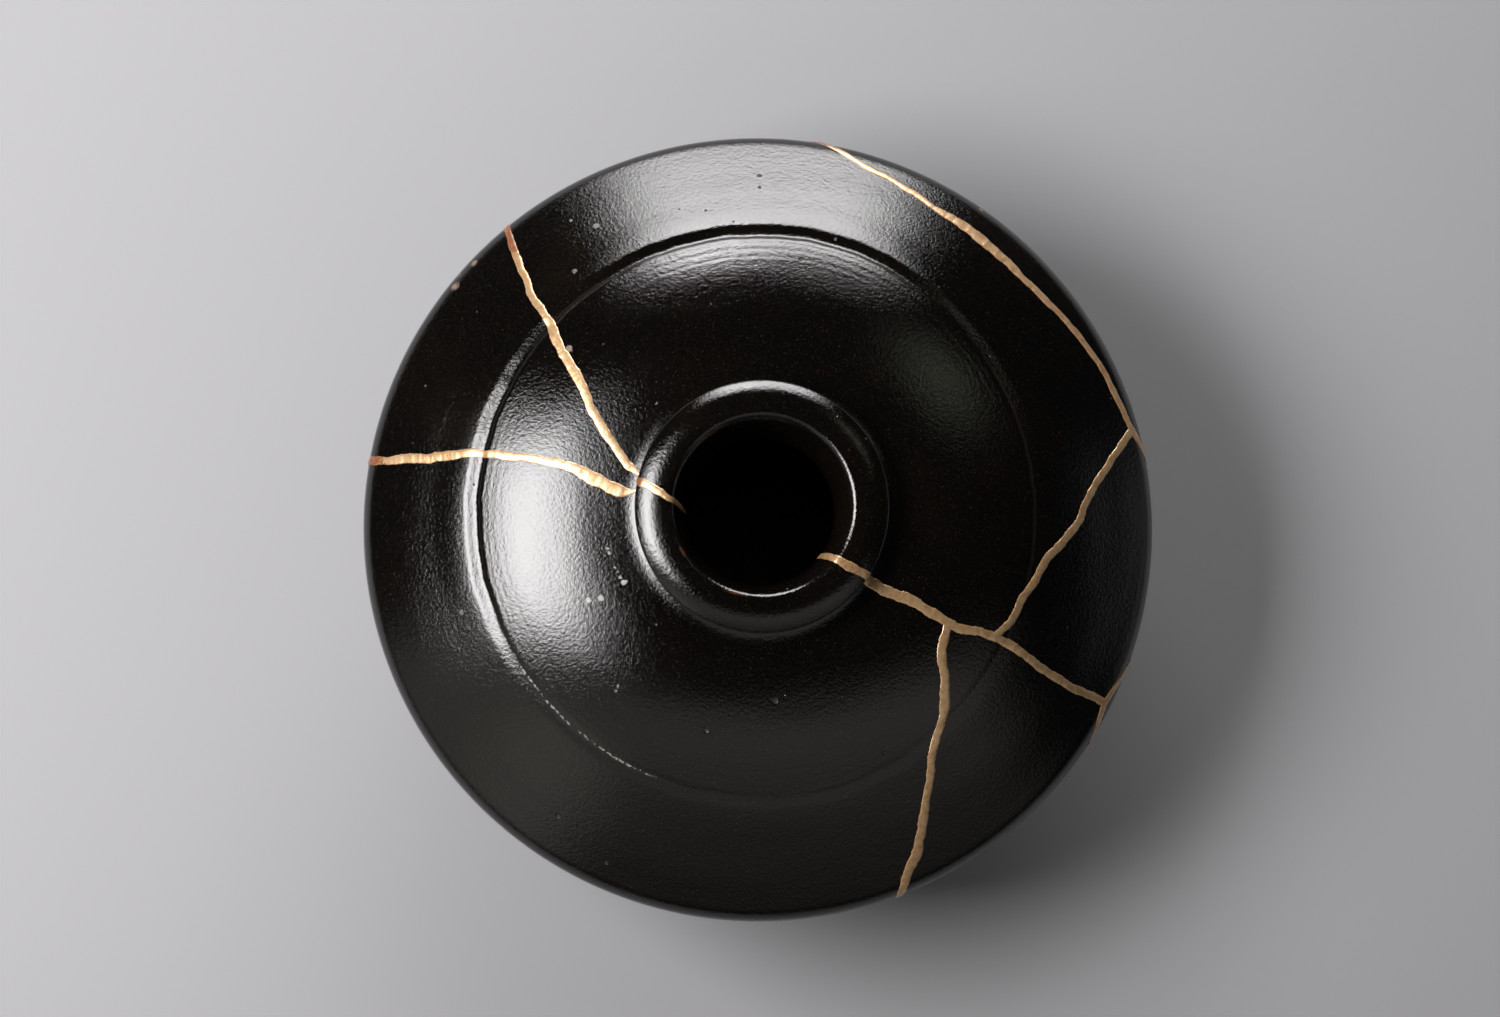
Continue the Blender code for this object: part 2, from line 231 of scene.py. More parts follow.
def insideLine():
    # The inside in step with the outside: the outside less its thickness times the normal. Above the
    # neck base it is a line to the collar with a sine for its bulge, and past the foot top it is the
    # floor, whose height closes in by the cube of the way left.
    thickness = np.interp(outsideTape, *np.transpose(thicknessStops))
    inner = outside - thickness[:, None] * outsideNormal
    neck = inner[neckIndex]
    share = np.clip((outsideTape - waistTape) / (neckTape - waistTape), 0, 1)[:, None]
    collar = np.array(jar["collar"])
    level = collar + share * (neck - collar) + np.array([0, jar["collarBulge"]]) * np.sin(np.pi * share)
    inner = np.where(outsideTape[:, None] < neckTape, level, inner)
    footIndex = int(np.argmin(abs(outsideTape - footTopTape)))
    rim = inner[footIndex]
    share = np.clip((outsideTape - footTopTape) / (lastTape - footTopTape), 0, 1)[:, None]
    dish = rim[1] + (jar["floorHeight"] - rim[1]) * (1 - (1 - share) ** 3)
    floor = np.hstack([rim[0] * (1 - share), dish])
    return np.where(outsideTape[:, None] > footTopTape, floor, inner)


inside = insideLine()

# Relief of the thrown clay

throwing = {
    "groove": (98.6, 100.4),      # place of a sharp step down
    "grooveDepth": 0.54,
    "stepPlaces": (-2.3, 0.7, 0.5),           # start and end of the drop, start of the rise, from it
    "ledge": (103.0, 97.4),       # place of the outer end of the ledge beyond it
    "ledgeRise": 1.0,
    "ledgeFall": 14.0,            # length over which the wall falls back to its line
    "sharpBearing": 2.2,          # the step is sharpest here, in radians
    "sharpCosine": (0.0, 0.42),   # it grows between these cosines of the angle from there
    "faintShare": 0.25,           # and has this share of its height opposite
    "drawnIn": 4.5,               # how far the step comes in towards the neck on the right
    "drawnCosine": (0.2, 1),      # it does so between these cosines of the bearing
    # how far it strays, as waves: (size, turns round the jar, phase)
    "strayWaves": ((0.5, 1, 0.8), (0.3, 2, 2.1), (0.14, 23, 0), (0.11, 41, 1), (0.08, 67, 2)),
    "ringHeight": 0.020,
    "ringPitch": 3.1,
    "ringsNearStep": (6, 8),      # they are strongest this far inside the step, over this length
    "fineRings": (0.007, 1.7),    # height and pitch of the close rings inside the step
    "fineBand": (-11, -6, -2.2, -1.4),        # where they fade in and out, from the groove
    "rearWidth": 0.75,            # of the bell curve of the cosine of the bearing, for the rear
    "shoulderBand": (3, 14, -14, -6),         # fade in from the neck base, and out to the belly edge
    "wallBand": (0, 12, -25, -8),             # the same for the wobble, down to the foot top
    "calmEdge": (0.6, -24, -4),   # share of the wobble lost near the belly edge, and where it goes
    "wobbleHeight": 0.10,
    "wobbleWaves": ((1, 60), (2, 45), (3, 34), (4, 26), (5, 22), (7, 17)),    # turns, length
    "seed": 11,
}
grooveTape, ledgeTape = tapeAt(throwing["groove"]), tapeAt(throwing["ledge"])


def smoothRise(value, low, high):
    # 0 below low, 1 above high, and 3t^2 - 2t^3 of the share t between them
    t = np.clip((value - low) / (high - low), 0, 1)
    return t * t * (3 - 2 * t)


def smoothBand(value, low, lowFull, highFull, high):
    # 0 below low and above high, 1 from lowFull to highFull, and a smooth S on either side
    return smoothRise(value, low, lowFull) * (1 - smoothRise(value, highFull, high))


def bandBetween(tape, top, bottom, fades):
    # such a band from four places, of which two are counted from its top and two from its bottom
    first, full, fading, last = fades
    return smoothBand(tape, top + first, top + full, bottom + fading, bottom + last)


def stepRelief(bearing, at):
    # along the tape the clay drops by the groove, rises to the ledge and falls back to its line, each
    # a smooth S; the height grows with the cosine of the bearing from the sharpest one
    cut, faint = throwing, throwing["faintShare"]
    dropStart, dropEnd, riseStart = (grooveTape + place for place in cut["stepPlaces"])
    height = -cut["grooveDepth"] * smoothRise(at, dropStart, dropEnd)
    height = height + cut["ledgeRise"] * smoothRise(at, riseStart, ledgeTape)
    fall = smoothRise(at, ledgeTape, ledgeTape + cut["ledgeFall"])
    height = height - (cut["ledgeRise"] - cut["grooveDepth"]) * fall
    sharp = smoothRise(np.cos(bearing - cut["sharpBearing"]), *cut["sharpCosine"])
    return height * (faint + (1 - faint) * sharp)


def fineRings(bearing, at, rear):
    # a sine of the tape distance just inside the step, at the rear only
    height, pitch = throwing["fineRings"]
    close = smoothBand(at, *(grooveTape + place for place in throwing["fineBand"]))
    return height * rear * close * np.sin(2 * np.pi * (at + 0.25 * np.sin(6 * bearing)) / pitch)


def throwingRings(bearing, tape, at, rear, onShoulder):
    # two sines of the tape distance, stronger by a bell curve near the step and in patches at the rear
    pitch, (before, width) = throwing["ringPitch"], throwing["ringsNearStep"]
    wave = np.sin(2 * np.pi * at / pitch + 0.6 * np.sin(at / 7))
    second = np.sin(2 * np.pi * at / (0.61 * pitch) + 1.3)
    nearGroove = np.exp(-(((at - grooveTape + before) / width) ** 2))
    patchy = 0.15 + rear * (0.35 + 0.25 * np.sin(7 * bearing + 0.09 * tape) * np.sin(4 * bearing + 0.9))
    return throwing["ringHeight"] * onShoulder * (0.25 + 1.1 * nearGroove * patchy) * (wave + 0.5 * second)


def slowWobble(bearing, tape):
    # a sum of products: the sine of some turns round the jar by the sine of a length along the tape
    rng = np.random.default_rng(throwing["seed"])
    slow = 0
    for turns, length in throwing["wobbleWaves"]:
        a, b, c = rng.uniform(0, 2 * np.pi, 3)
        along = np.sin(2 * np.pi * tape / length + b + 0.4 * np.sin(bearing + c))
        slow = slow + np.sin(turns * bearing + a) * along / turns
    return slow


def wallRelief(bearing, tape):
    # height of the surface above the turned line: step, rings and slow unevenness, added up, and
    # faded out towards the neck, the belly edge and the foot
    cut = throwing
    drift = sum(size * np.sin(turns * bearing + shift) for size, turns, shift in cut["strayWaves"])
    drift = drift - cut["drawnIn"] * smoothRise(np.cos(bearing), *cut["drawnCosine"])
    at = tape - drift
    rear = np.exp(-((np.cos(bearing) / cut["rearWidth"]) ** 2)) * (np.sin(bearing) > 0)
    onShoulder = bandBetween(tape, neckTape, bellyTape, cut["shoulderBand"])
    height = stepRelief(bearing, at) + fineRings(bearing, at, rear)
    height = height + throwingRings(bearing, tape, at, rear, onShoulder)
    onWall = bandBetween(tape, neckTape, footTopTape, cut["wallBand"])
    lost, calmStart, calmEnd = cut["calmEdge"]
    nearEdge = 1 - lost * smoothRise(tape, bellyTape + calmStart, bellyTape + calmEnd)
    return height * onShoulder + cut["wobbleHeight"] * onWall * slowWobble(bearing, tape) * nearEdge


def clayPoint(bearing, tape, lift=0.0, side="outside"):
    # a point of the jar, in metres: radius times the cosine and sine of a bearing (radians), and the
    # height, after both are moved along the normal by the relief and by lift; inside by lift alone
    radius = np.interp(tape, outsideTape, outside[:, 0])
    height = np.interp(tape, outsideTape, outside[:, 1])
    outX = np.interp(tape, outsideTape, outsideNormal[:, 0])
    outZ = np.interp(tape, outsideTape, outsideNormal[:, 1])
    if side == "outside":
        raised = wallRelief(bearing, tape) + lift
        radius = radius + raised * outX
        height = height + raised * outZ
    else:
        radius = np.interp(tape, outsideTape, inside[:, 0]) - lift * outX
        height = np.interp(tape, outsideTape, inside[:, 1]) - lift * outZ
    return np.stack([radius * np.cos(bearing), radius * np.sin(bearing), height], axis=-1) * mm


# The cracks
# Each route is (bearing in degrees, reach in millimetres, width of the gold). The reach is the
# distance from the axis seen from above. Past the belly edge it counts on, as if laid out flat.

edge = jar["bellyRadius"]
cracks = {
    "gold_line_left": {
        "lip": [
            (184, 26.6, 0.5), (181.5, 28, 1.6), (177, 31, 2.4), (173.5, 34.5, 2.9), (171, 38, 3.1),
            (169.3, 42, 3.0), (168.4, 43.6, 2.8), (168, 43.9, 2.2), (168, 44.25, 1.2),
        ],
        "ring": [
            (168, 44.25, 0.9), (171.5, 44.3, 1.1), (172.8, 45.6, 2.6), (172.8, 48.5, 4.6),
            (171.2, 53.5, 4.8), (169.4, 60.5, 5.4), (167.6, 66, 4.4), (167.1, 73, 3.5),
            (167.2, 87, 3.3), (168, 103, 3.4), (169.6, 116, 4.1), (170.3, 128, 3.7),
            (170.8, edge, 3.4), (170, 158, 3.2), (164, 174, 3.0), (155, 182, 3.0), (143, 178, 3.0),
            (134, 167, 3.0), (130, 152, 3.0), (130, edge, 3.0), (132.4, 127, 3.1), (135.6, 112, 3.0),
            (137.5, 100, 3.7), (140, 92, 4.0), (144, 78, 4.0), (151, 65, 3.6), (158.3, 52.5, 3.5),
            (162, 47.2, 3.2), (163.6, 45.0, 2.0), (165.2, 44.3, 1.0),
        ],
    },
    "gold_line_right": {
        "spine": [
            (321, 25.2, 2.0), (321.8, 26.5, 2.6), (322.8, 30.5, 3.1), (324.5, 35, 3.5), (326, 40, 3.6),
            (326.4, 43, 3.6), (325.6, 46.5, 4.4), (326.8, 52, 4.6), (328.6, 60, 4.2), (328.9, 75, 3.8),
            (331.2, 86, 3.5), (332.3, 95, 3.5), (331.7, 110, 3.4), (331.9, 124, 3.4), (332.5, 137.2, 3.2),
        ],
        "middle": [
            (332.3, 91.5, 3.2), (336.5, 94, 3.3), (341.5, 95.5, 3.4), (350.8, 100, 3.4), (355, 105.5, 3.6),
            (359, 111, 3.3), (3.5, 115, 3.3), (7.5, 121, 3.1), (10.4, 127, 3.2), (14.3, 136.6, 3.2),
        ],
        "strip": [
            (8, edge + 0.5, 2.8), (14.3, 136.6, 3.2), (23, 134, 3.0), (32, 131, 3.1), (41.5, 128, 3.6),
            (47, 127.6, 4.4), (52.5, 128.3, 5.6), (57, 128.4, 4.4), (61, 128.5, 3.2), (68, 131.2, 2.9),
            (75, 134.6, 2.7), (82, edge, 2.8), (85.8, 146, 2.8), (86.5, 153, 2.8), (84.5, 160, 2.8),
            (79, 166, 2.9), (66, 172, 2.9), (45, 175, 2.9), (24, 173, 2.9), (12, 168.5, 2.8),
            (7, 163, 2.8), (4.3, 156, 2.8), (4.8, 148, 2.8),
        ],
        "lower": [
            (328.9, 75, 3.4), (324.3, 77, 3.8), (320.8, 80, 3.7), (315, 90, 4.1), (310, 96.5, 3.6),
            (305.8, 101.5, 3.4), (300, 115, 3.5), (295.4, 128, 4.4), (292.6, 134.5, 3.9), (290.5, edge, 3.4),
            (289.5, 150, 3.0), (290.5, 158, 3.0), (295, 165, 3.0), (304, 169, 3.0), (312, 168, 3.0),
            (318, 163, 3.0), (322, 156, 3.0), (324.8, 147, 3.0), (326.5, edge, 3.0), (329.5, 138.8, 3.1),
            (332.5, 137.2, 3.2),
        ],
        "edge": [
            (332.5, 137.2, 3.2), (336, 138.6, 3.0), (340, edge, 3.0), (343.5, 147, 3.0), (349, 153, 2.9),
            (356, 155, 2.8), (364.4, 151.5, 2.8),
        ],
    },
}
closedCracks = ("ring", "strip")
lacquer = {
    "rise": 0.25,                 # height of the gold above the glaze
    "root": 0.12,                 # how far its edges go under the glaze line
    "fullness": 0.92,             # share of the widths above that the gold takes
    "webHalf": 0.28,              # half the thickness of lacquer in the crack
    "play": 0.04,                 # gap between it and the clay
    "insideHalf": 1.1,            # half the width of the line on the inside
    "step": 0.7,
    "crackStep": 1.4,
    "wander": 0.22,               # how far the crack strays from its route
    "wanderWaves": (13, 45),      # shortest and longest wave of that
    "seed": 5,
}

onFillet = (outsideTape > waistTape) & (outside[:, 0] >= jar["filletReach"])
filletTape = outsideTape[onFillet][0]
lipPlaces = (jar["throat"], jar["ridgeInside"], jar["lipMiddle"], jar["lipEdge"])
lipReach = np.array([place[0] for place in lipPlaces] + [jar["filletReach"]])
lipTape = np.array([tapeAt(place) for place in lipPlaces] + [filletTape])


def tapeOfReach(reach):
    # tape distance of a reach: between the named places of the lip in proportion, and beyond it where
    # the radius of the outside is the reach, or past the belly edge twice the belly less the reach
    onWall = outsideTape >= filletTape
    radius = outside[onWall, 0]
    wallReach = np.where(outsideTape[onWall] <= bellyTape, radius, 2 * jar["bellyRadius"] - radius)
    wallReach = np.maximum.accumulate(wallReach + 1e-7 * np.arange(len(wallReach)))
    return np.where(
        np.less(reach, jar["filletReach"]),
        np.interp(reach, lipReach, lipTape),
        np.interp(reach, wallReach, outsideTape[onWall]),
    )


def smoothThrough(points, closed, count=24):
    # a smooth curve through the points: each span a cubic with half the chord between its neighbours
    # as the slope at its ends
    points = np.asarray(points, float)
    if closed:
        padded = np.vstack([points[-1], points, points[:2]])
    else:
        padded = np.vstack([2 * points[0] - points[1], points, 2 * points[-1] - points[-2]])
    before, start, end, after = padded[:-3], padded[1:-2], padded[2:-1], padded[3:]
    t = np.linspace(0, 1, count, endpoint=False)[None, :, None]
    slopeIn, slopeOut = (end - before) / 2, (after - start) / 2
    start, end, slopeIn, slopeOut = (a[:, None, :] for a in (start, end, slopeIn, slopeOut))
    curve = (
        (2 * t**3 - 3 * t**2 + 1) * start + (t**3 - 2 * t**2 + t) * slopeIn
        + (3 * t**2 - 2 * t**3) * end + (t**3 - t**2) * slopeOut
    ).reshape(-1, points.shape[1])
    return np.vstack([curve, points[:1] if closed else points[-1:]])


def unevenness(length, total, closed, shortest, longest, rng):
    # a sum of sines of random phase along a line, about -1 to 1, and zero at both ends if it is open
    value = 0
    for wave in np.geomspace(shortest, longest, 5):
        turns = max(round(total / wave), 1) if closed else total / wave
        value = value + np.sin(2 * np.pi * turns * length / total + rng.uniform(0, 2 * np.pi))
    fade = 1 if closed else smoothBand(length, 0, 4, total - 4, total)
    return value / 2.2 * fade


def lengthAlong(line):
    # distance over the clay from the start of a line of (bearing, tape) to each of its points
    point = clayPoint(line[:, 0], line[:, 1]) / mm
    return np.concatenate([[0], np.cumsum(np.linalg.norm(np.diff(point, axis=0), axis=1))])


def crackLine(route, closed, rng):
    # A crack as rows of bearing (radians), tape distance and gold width: a smooth curve through its
    # route, set out in even steps over the clay and moved sideways by a sum of sines.
    route = np.array(route, float)
    bearing = np.unwrap(np.radians(route[:, 0]))
    knots = np.column_stack([bearing, tapeOfReach(route[:, 1]), route[:, 2] * lacquer["fullness"]])
    line = smoothThrough(knots, closed)
    length = lengthAlong(line)
    at = np.linspace(0, length[-1], int(round(length[-1] / lacquer["crackStep"])) + 1)
    line = np.column_stack([np.interp(at, length, line[:, k]) for k in range(3)])
    radius = np.interp(line[:, 1], outsideTape, outside[:, 0])
    run = np.gradient(line[:, 1])
    turn = radius * np.gradient(line[:, 0])
    size = np.hypot(run, turn)
    stray = lacquer["wander"] * unevenness(at, length[-1], closed, *lacquer["wanderWaves"], rng)
    line[:, 0] += stray * run / size / radius
    line[:, 1] -= stray * turn / size
    return line[:-1] if closed else line


say("laying out the cracks")
crackRng = np.random.default_rng(lacquer["seed"])
crackLines = {
    (piece, name): crackLine(route, name in closedCracks, crackRng)
    for piece, routes in cracks.items()
    for name, route in routes.items()
}

# Sherds: closed loops of crack on the wall laid out flat


def flat(line):
    # the wall laid out flat: tape distance times the cosine and sine of the bearing
    return np.column_stack([line[:, 1] * np.cos(line[:, 0]), line[:, 1] * np.sin(line[:, 0])])


def asPolar(points):
    # bearing and tape distance of points of the flat wall: their angle and their distance
    return np.arctan2(points[:, 1], points[:, 0]), np.hypot(*points.T)


def sherdLoops():
    # outlines of the sherds, and of the openings that they leave in the body: stretches of the cracks
    # between their crossings, one after the other
    left = flat(crackLines["gold_line_left", "ring"])
    spine, middle, strip, lower, brink = (
        flat(crackLines["gold_line_right", name]) for name in ("spine", "middle", "strip", "lower", "edge")
    )
    fork, branch = nearest(spine, lower[0]), nearest(spine, middle[0])
    meet, join = nearest(strip, middle[-1]), nearest(strip, brink[-1])
    shortWay = np.roll(strip, -join, axis=0)[: (meet - join) % len(strip) + 1]
    longWay = np.roll(strip, -meet, axis=0)[: (join - meet) % len(strip) + 1]
    back = middle[::-1][:-1]
    loops = {
        "sherd_left": left,
        "sherd_upper_right": strip,
        "sherd_lower_right": np.vstack([spine[fork:-1], lower[::-1][:-1]]),
        "sherd_right": np.vstack([spine[branch:-1], brink[:-1], shortWay[:-1], back]),
    }
    opening = np.vstack([lower[1:-1], brink[:-1], longWay[::-1][:-1], back, spine[fork:branch][::-1]])
    return loops, [left, opening]


def loopArea(loop):
    # half the sum of the cross products of neighbours, above zero if the loop is anticlockwise
    x, y = loop.T
    return 0.5 * np.sum(x * np.roll(y, -1) - y * np.roll(x, -1))


def shiftLoop(loop, inwards):
    # the loop made anticlockwise, and each corner moved by the distance times the sum of the unit
    # normals of its two sides over the share of one in the other, which is its mitre
    if loopArea(loop) < 0:
        loop = loop[::-1]
    ahead = np.roll(loop, -1, axis=0) - loop
    ahead /= np.hypot(*ahead.T)[:, None]
    side = np.column_stack([-ahead[:, 1], ahead[:, 0]])
    mitre = side + np.roll(side, 1, axis=0)
    mitre /= np.maximum(np.sum(mitre * side, axis=1), 0.5)[:, None]
    return loop + inwards * mitre


def insideLoop(points, loop):
    # which points lie in the loop: those whose ray to the right crosses an odd number of its sides
    x, y = points.T
    hits = np.zeros(len(points), bool)
    for (x0, y0), (x1, y1) in zip(loop, np.roll(loop, -1, axis=0)):
        crosses = (y0 > y) != (y1 > y)
        hits ^= crosses & (x < x0 + (x1 - x0) * (y - y0) / (y1 - y0 if y1 != y0 else 1.0))
    return hits


def loopDistance(points, loop):
    # distance of each point from the loop: the least of those from its sides
    best = np.full(len(points), np.inf)
    for start, end in zip(loop, np.roll(loop, -1, axis=0)):
        span = end - start
        t = np.clip((points - start) @ span / (span @ span), 0, 1)
        best = np.minimum(best, np.hypot(*(points - start - t[:, None] * span).T))
    return best


def gridFaces(rows, columns):
    # four-sided faces between each row of a grid and the next, closed on itself round the axis
    upper = np.arange(rows - 1)[:, None] * columns + np.arange(columns)[None, :]
    right = np.arange(rows - 1)[:, None] * columns + (np.arange(columns)[None, :] + 1) % columns
    return np.stack([upper, right, right + columns, upper + columns], axis=-1).reshape(-1, 4)


def sidesOf(faces):
    # the sides of faces as pairs of corner numbers, the lower first
    corners = faces.shape[1]
    sides = [faces[:, [k, (k + 1) % corners]] for k in range(corners)]
    return np.sort(np.concatenate(sides), axis=1)


def splitAreas(patches, walls):
    # a number for each triangle, the same for all that connect without crossing a wall: each takes
    # the lowest number of its neighbours until nothing changes
    count = patches.max() + 1
    sides = sidesOf(patches)
    owner = np.tile(np.arange(len(patches)), 3)
    code = sides[:, 0] * count + sides[:, 1]
    walls = np.sort(walls, axis=1)
    free = ~np.isin(code, walls[:, 0] * count + walls[:, 1])
    code, owner = code[free], owner[free]
    order = np.argsort(code, kind="stable")
    code, owner = code[order], owner[order]
    same = np.flatnonzero(code[1:] == code[:-1])
    one, two = owner[same], owner[same + 1]
    label = np.arange(len(patches))
    while True:
        lower = np.minimum(label[one], label[two])
        fresh = label.copy()
        np.minimum.at(fresh, one, lower)
        np.minimum.at(fresh, two, lower)
        fresh = fresh[fresh]
        if (fresh == label).all():
            return label
        label = fresh


def triangulate(corners, links):
    # triangles between all corners that keep the links as sides, and the area that each belongs to
    spots, _, patches, sources, _, _ = delaunay_2d_cdt(corners.tolist(), links.tolist(), [], 0, 1e-7, True)
    spots, patches = np.array([tuple(v) for v in spots]), np.array(patches)
    renumber = np.zeros(len(corners), int)
    for new, old in enumerate(sources):
        renumber[old] = new
    return spots, patches, splitAreas(patches, renumber[links])


def areaMiddles(spots, patches, areas):
    # for each area the middle of its largest triangle, by the cross product of two sides
    first, second = (spots[patches[:, k]] - spots[patches[:, 0]] for k in (1, 2))
    bySize = np.argsort(abs(first[:, 0] * second[:, 1] - first[:, 1] * second[:, 0]))
    largest = np.zeros(areas.max() + 1, int)
    largest[areas[bySize]] = bySize       # the last one written is the largest
    return spots[patches].mean(axis=1)[largest]


def inRegion(points, loops, holes):
    # which points lie in all the loops and in none of the holes
    wanted = np.ones(len(points), bool)
    for loop in loops:
        wanted &= insideLoop(points, loop)
    for hole in holes:
        wanted &= ~insideLoop(points, hole)
    return wanted


def borderSides(whole, keep, rowCount, columns):
    # sides that a single whole cell has, and those of the first and last row between kept points
    sides, uses = np.unique(sidesOf(whole), axis=0, return_counts=True)
    firstRow = np.arange(columns)
    ends = np.column_stack([firstRow, np.roll(firstRow, -1)])
    ends = np.sort(np.vstack([ends, ends + (rowCount - 1) * columns]), axis=1)
    return np.unique(np.vstack([sides[uses == 1], ends[keep[ends].all(axis=1)]]), axis=0)


def meshRegion(rows, columns, loops, holes):
    # The part of the flat wall inside the loops and outside the holes. Cells of the grid clear of
    # every crack stay whole, and what lies between them and the cracks is triangulated.
    tape = np.repeat(rows, columns)
    points = flat(np.column_stack([np.tile(2 * np.pi * np.arange(columns) / columns, len(rows)), tape]))
    keep = inRegion(points, loops, holes)
    cell = np.maximum(np.interp(tape, rows, np.gradient(rows)), 2 * np.pi * tape / columns)
    for loop in loops + holes:
        kept = np.flatnonzero(keep)
        keep[kept[loopDistance(points[kept], loop) < grain["margin"] * cell[kept]]] = False
    quads = gridFaces(len(rows), columns)
    isWhole = keep[quads].all(axis=1)
    whole = quads[isWhole]
    border = borderSides(whole, keep, len(rows), columns)
    inner = np.zeros(len(points), bool)
    inner[whole.ravel()] = True
    used = np.unique(np.concatenate([border.ravel(), np.flatnonzero(keep & ~inner)]))
    number = np.full(len(points), -1)
    number[used] = np.arange(len(used))
    corners, links, count = [points[used]], [number[border]], len(used)
    for loop in loops + holes:
        index = count + np.arange(len(loop))
        corners.append(loop)
        links.append(np.column_stack([index, np.roll(index, -1)]))
        count += len(loop)
    spots, patches, areas = triangulate(np.vstack(corners), np.vstack(links))
    tester = areaMiddles(spots, patches, areas)
    turn, reach = asPolar(tester)
    row = np.clip(np.searchsorted(rows, reach) - 1, 0, len(rows) - 2)
    column = (turn % (2 * np.pi) / (2 * np.pi) * columns).astype(int) % columns
    wanted = inRegion(tester, loops, holes) & (reach > rows[0]) & (reach < rows[-1])
    wanted &= ~isWhole.reshape(len(rows) - 1, columns)[row, column]
    return points, whole, spots, patches[wanted[areas]]


class Blocks:
    # surfaces collected as points and faces, and welded into one mesh at the end
    def __init__(self):
        self.points = []
        self.faces = []
        self.count = 0

    def add(self, points, *faces):
        self.points.append(np.asarray(points, float))
        for group in faces:
            self.faces += (np.asarray(group) + self.count).tolist()
        self.count += len(points)

    def build(self, name, weld=2e-6):
        mesh = bpy.data.meshes.new(name)
        mesh.from_pydata(np.vstack(self.points).tolist(), [], self.faces)
        work = bmesh.new()
        work.from_mesh(mesh)
        loose = [vertex for vertex in work.verts if not vertex.link_faces]
        if weld:
            bmesh.ops.delete(work, geom=loose, context="VERTS")
            bmesh.ops.remove_doubles(work, verts=work.verts, dist=weld)
        bmesh.ops.recalc_face_normals(work, faces=work.faces)
        openSides = sum(1 for side in work.edges if len(side.link_faces) != 2)
        work.to_mesh(mesh)
        work.free()
        piece = bpy.data.objects.new(name, mesh)
        bpy.context.scene.collection.objects.link(piece)
        mesh.shade_smooth()
        mesh.set_sharp_from_angle(angle=math.radians(50))
        triangles = len(mesh.loops) - 2 * len(mesh.polygons)
        say(f"{name}: {triangles} triangles, {openSides} open sides")
        return piece


def spacedRows(stops):
    # tape distances from stop to stop, each stretch in even steps of about its own size
    rows = [np.array([stops[0][0]])]
    for (start, step), (end, _) in zip(stops, stops[1:]):
        count = max(int(round((end - start) / step)), 1)
        rows.append(np.linspace(start, end, count + 1)[1:])
    return np.concatenate(rows)


# Rows of the band that the cracks cross: (tape distance, size of the faces from there on)
outsideRows = spacedRows((
    (waistTape, 0.7), (neckTape + 2, 1.5), (grooveTape - 11, 0.45), (grooveTape - 1.5, 0.35),
    (grooveTape + 1, 0.8), (grooveTape + 8, grain["shoulderStep"]),
    (bellyTape - 8, grain["bellyStep"]), (bellyTape + 8, grain["undersideStep"]), (bandEndTape, 1),
))
insideRows = spacedRows((
    (waistTape, 4), (neckTape, grain["insideStep"]), (bellyTape - 6, 1.8),
    (bellyTape + 6, grain["insideStep"]), (bandEndTape, 1),
))


def fanFaces(first, count, middle):
    # triangles from each point of a ring and the next to one in the middle
    k = np.arange(count)
    return np.column_stack([first + k, first + (k + 1) % count, np.full(count, middle)])


def addWall(blocks, columns, rows, loops, holes, side):
    # one face of the wall inside the loops and outside the holes, as points of the clay at the
    # bearing and tape distance of each point of the flat wall
    points, whole, spots, patches = meshRegion(rows, columns, loops, holes)
    bearing, tape = asPolar(points)
    tape = np.repeat(rows, columns)
    blocks.add(clayPoint(bearing, tape, side=side), whole)
    bearing, tape = asPolar(spots)
    tape = np.where(abs(tape - rows[0]) < 1e-3, rows[0], tape)
    blocks.add(clayPoint(bearing, tape, side=side), patches)


def addCrackFace(blocks, loop):
    # the broken face along a loop, from the outside through to the inside
    bearing, tape = asPolar(loop)
    points = np.vstack([clayPoint(bearing, tape), clayPoint(bearing, tape, side="inside")])
    index = np.arange(len(loop))
    after = np.roll(index, -1)
    blocks.add(points, np.column_stack([index, after, after + len(loop), index + len(loop)]))


def makeSherd(name, loop):
    # outer face, inner face and broken face of the wall within a crack, which is moved inwards by
    # half the lacquer
    loop = shiftLoop(loop, lacquer["webHalf"] + lacquer["play"])
    blocks = Blocks()
    addWall(blocks, grain["columns"], outsideRows, [loop], [], "outside")
    addWall(blocks, grain["columns"] // grain["insideShare"], insideRows, [loop], [], "inside")
    addCrackFace(blocks, loop)
    return blocks.build(name)


def addTurned(blocks, columns, rows, side):
    # a stretch of the section turned all the way round: the clay at every bearing and every row
    turn = np.tile(2 * np.pi * np.arange(columns) / columns, len(rows))
    blocks.add(clayPoint(turn, np.repeat(rows, columns), side=side), gridFaces(len(rows), columns))


def addCap(blocks, columns, tape, side):
    # the disc that closes the section at the axis: a fan from a ring to the last point of the section
    turn = 2 * np.pi * np.arange(columns) / columns
    rim = clayPoint(turn, np.full(columns, tape), side=side)
    middle = clayPoint(np.zeros(1), np.array([lastTape]), side=side)
    blocks.add(np.vstack([rim, middle]), fanFaces(0, columns, columns))


def addNeckJoin(blocks, columns, share):
    # the last strip at the throat: each face of the inside ring is joined to share faces of the
    # outside one by as many triangles, and to the next by one more
    turn = 2 * np.pi * np.arange(columns) / columns
    fine = clayPoint(turn, np.full(columns, throatTape))
    coarse = clayPoint(turn[::share], np.full(columns // share, waistTape), side="inside")
    first = np.arange(columns // share)
    after = (first + 1) % len(first)
    fans = [
        np.column_stack([columns + first, share * first + k, (share * first + k + 1) % columns])
        for k in range(share)
    ]
    last = np.column_stack([columns + first, share * after, columns + after])
    blocks.add(np.vstack([fine, coarse]), np.vstack([*fans, last]))


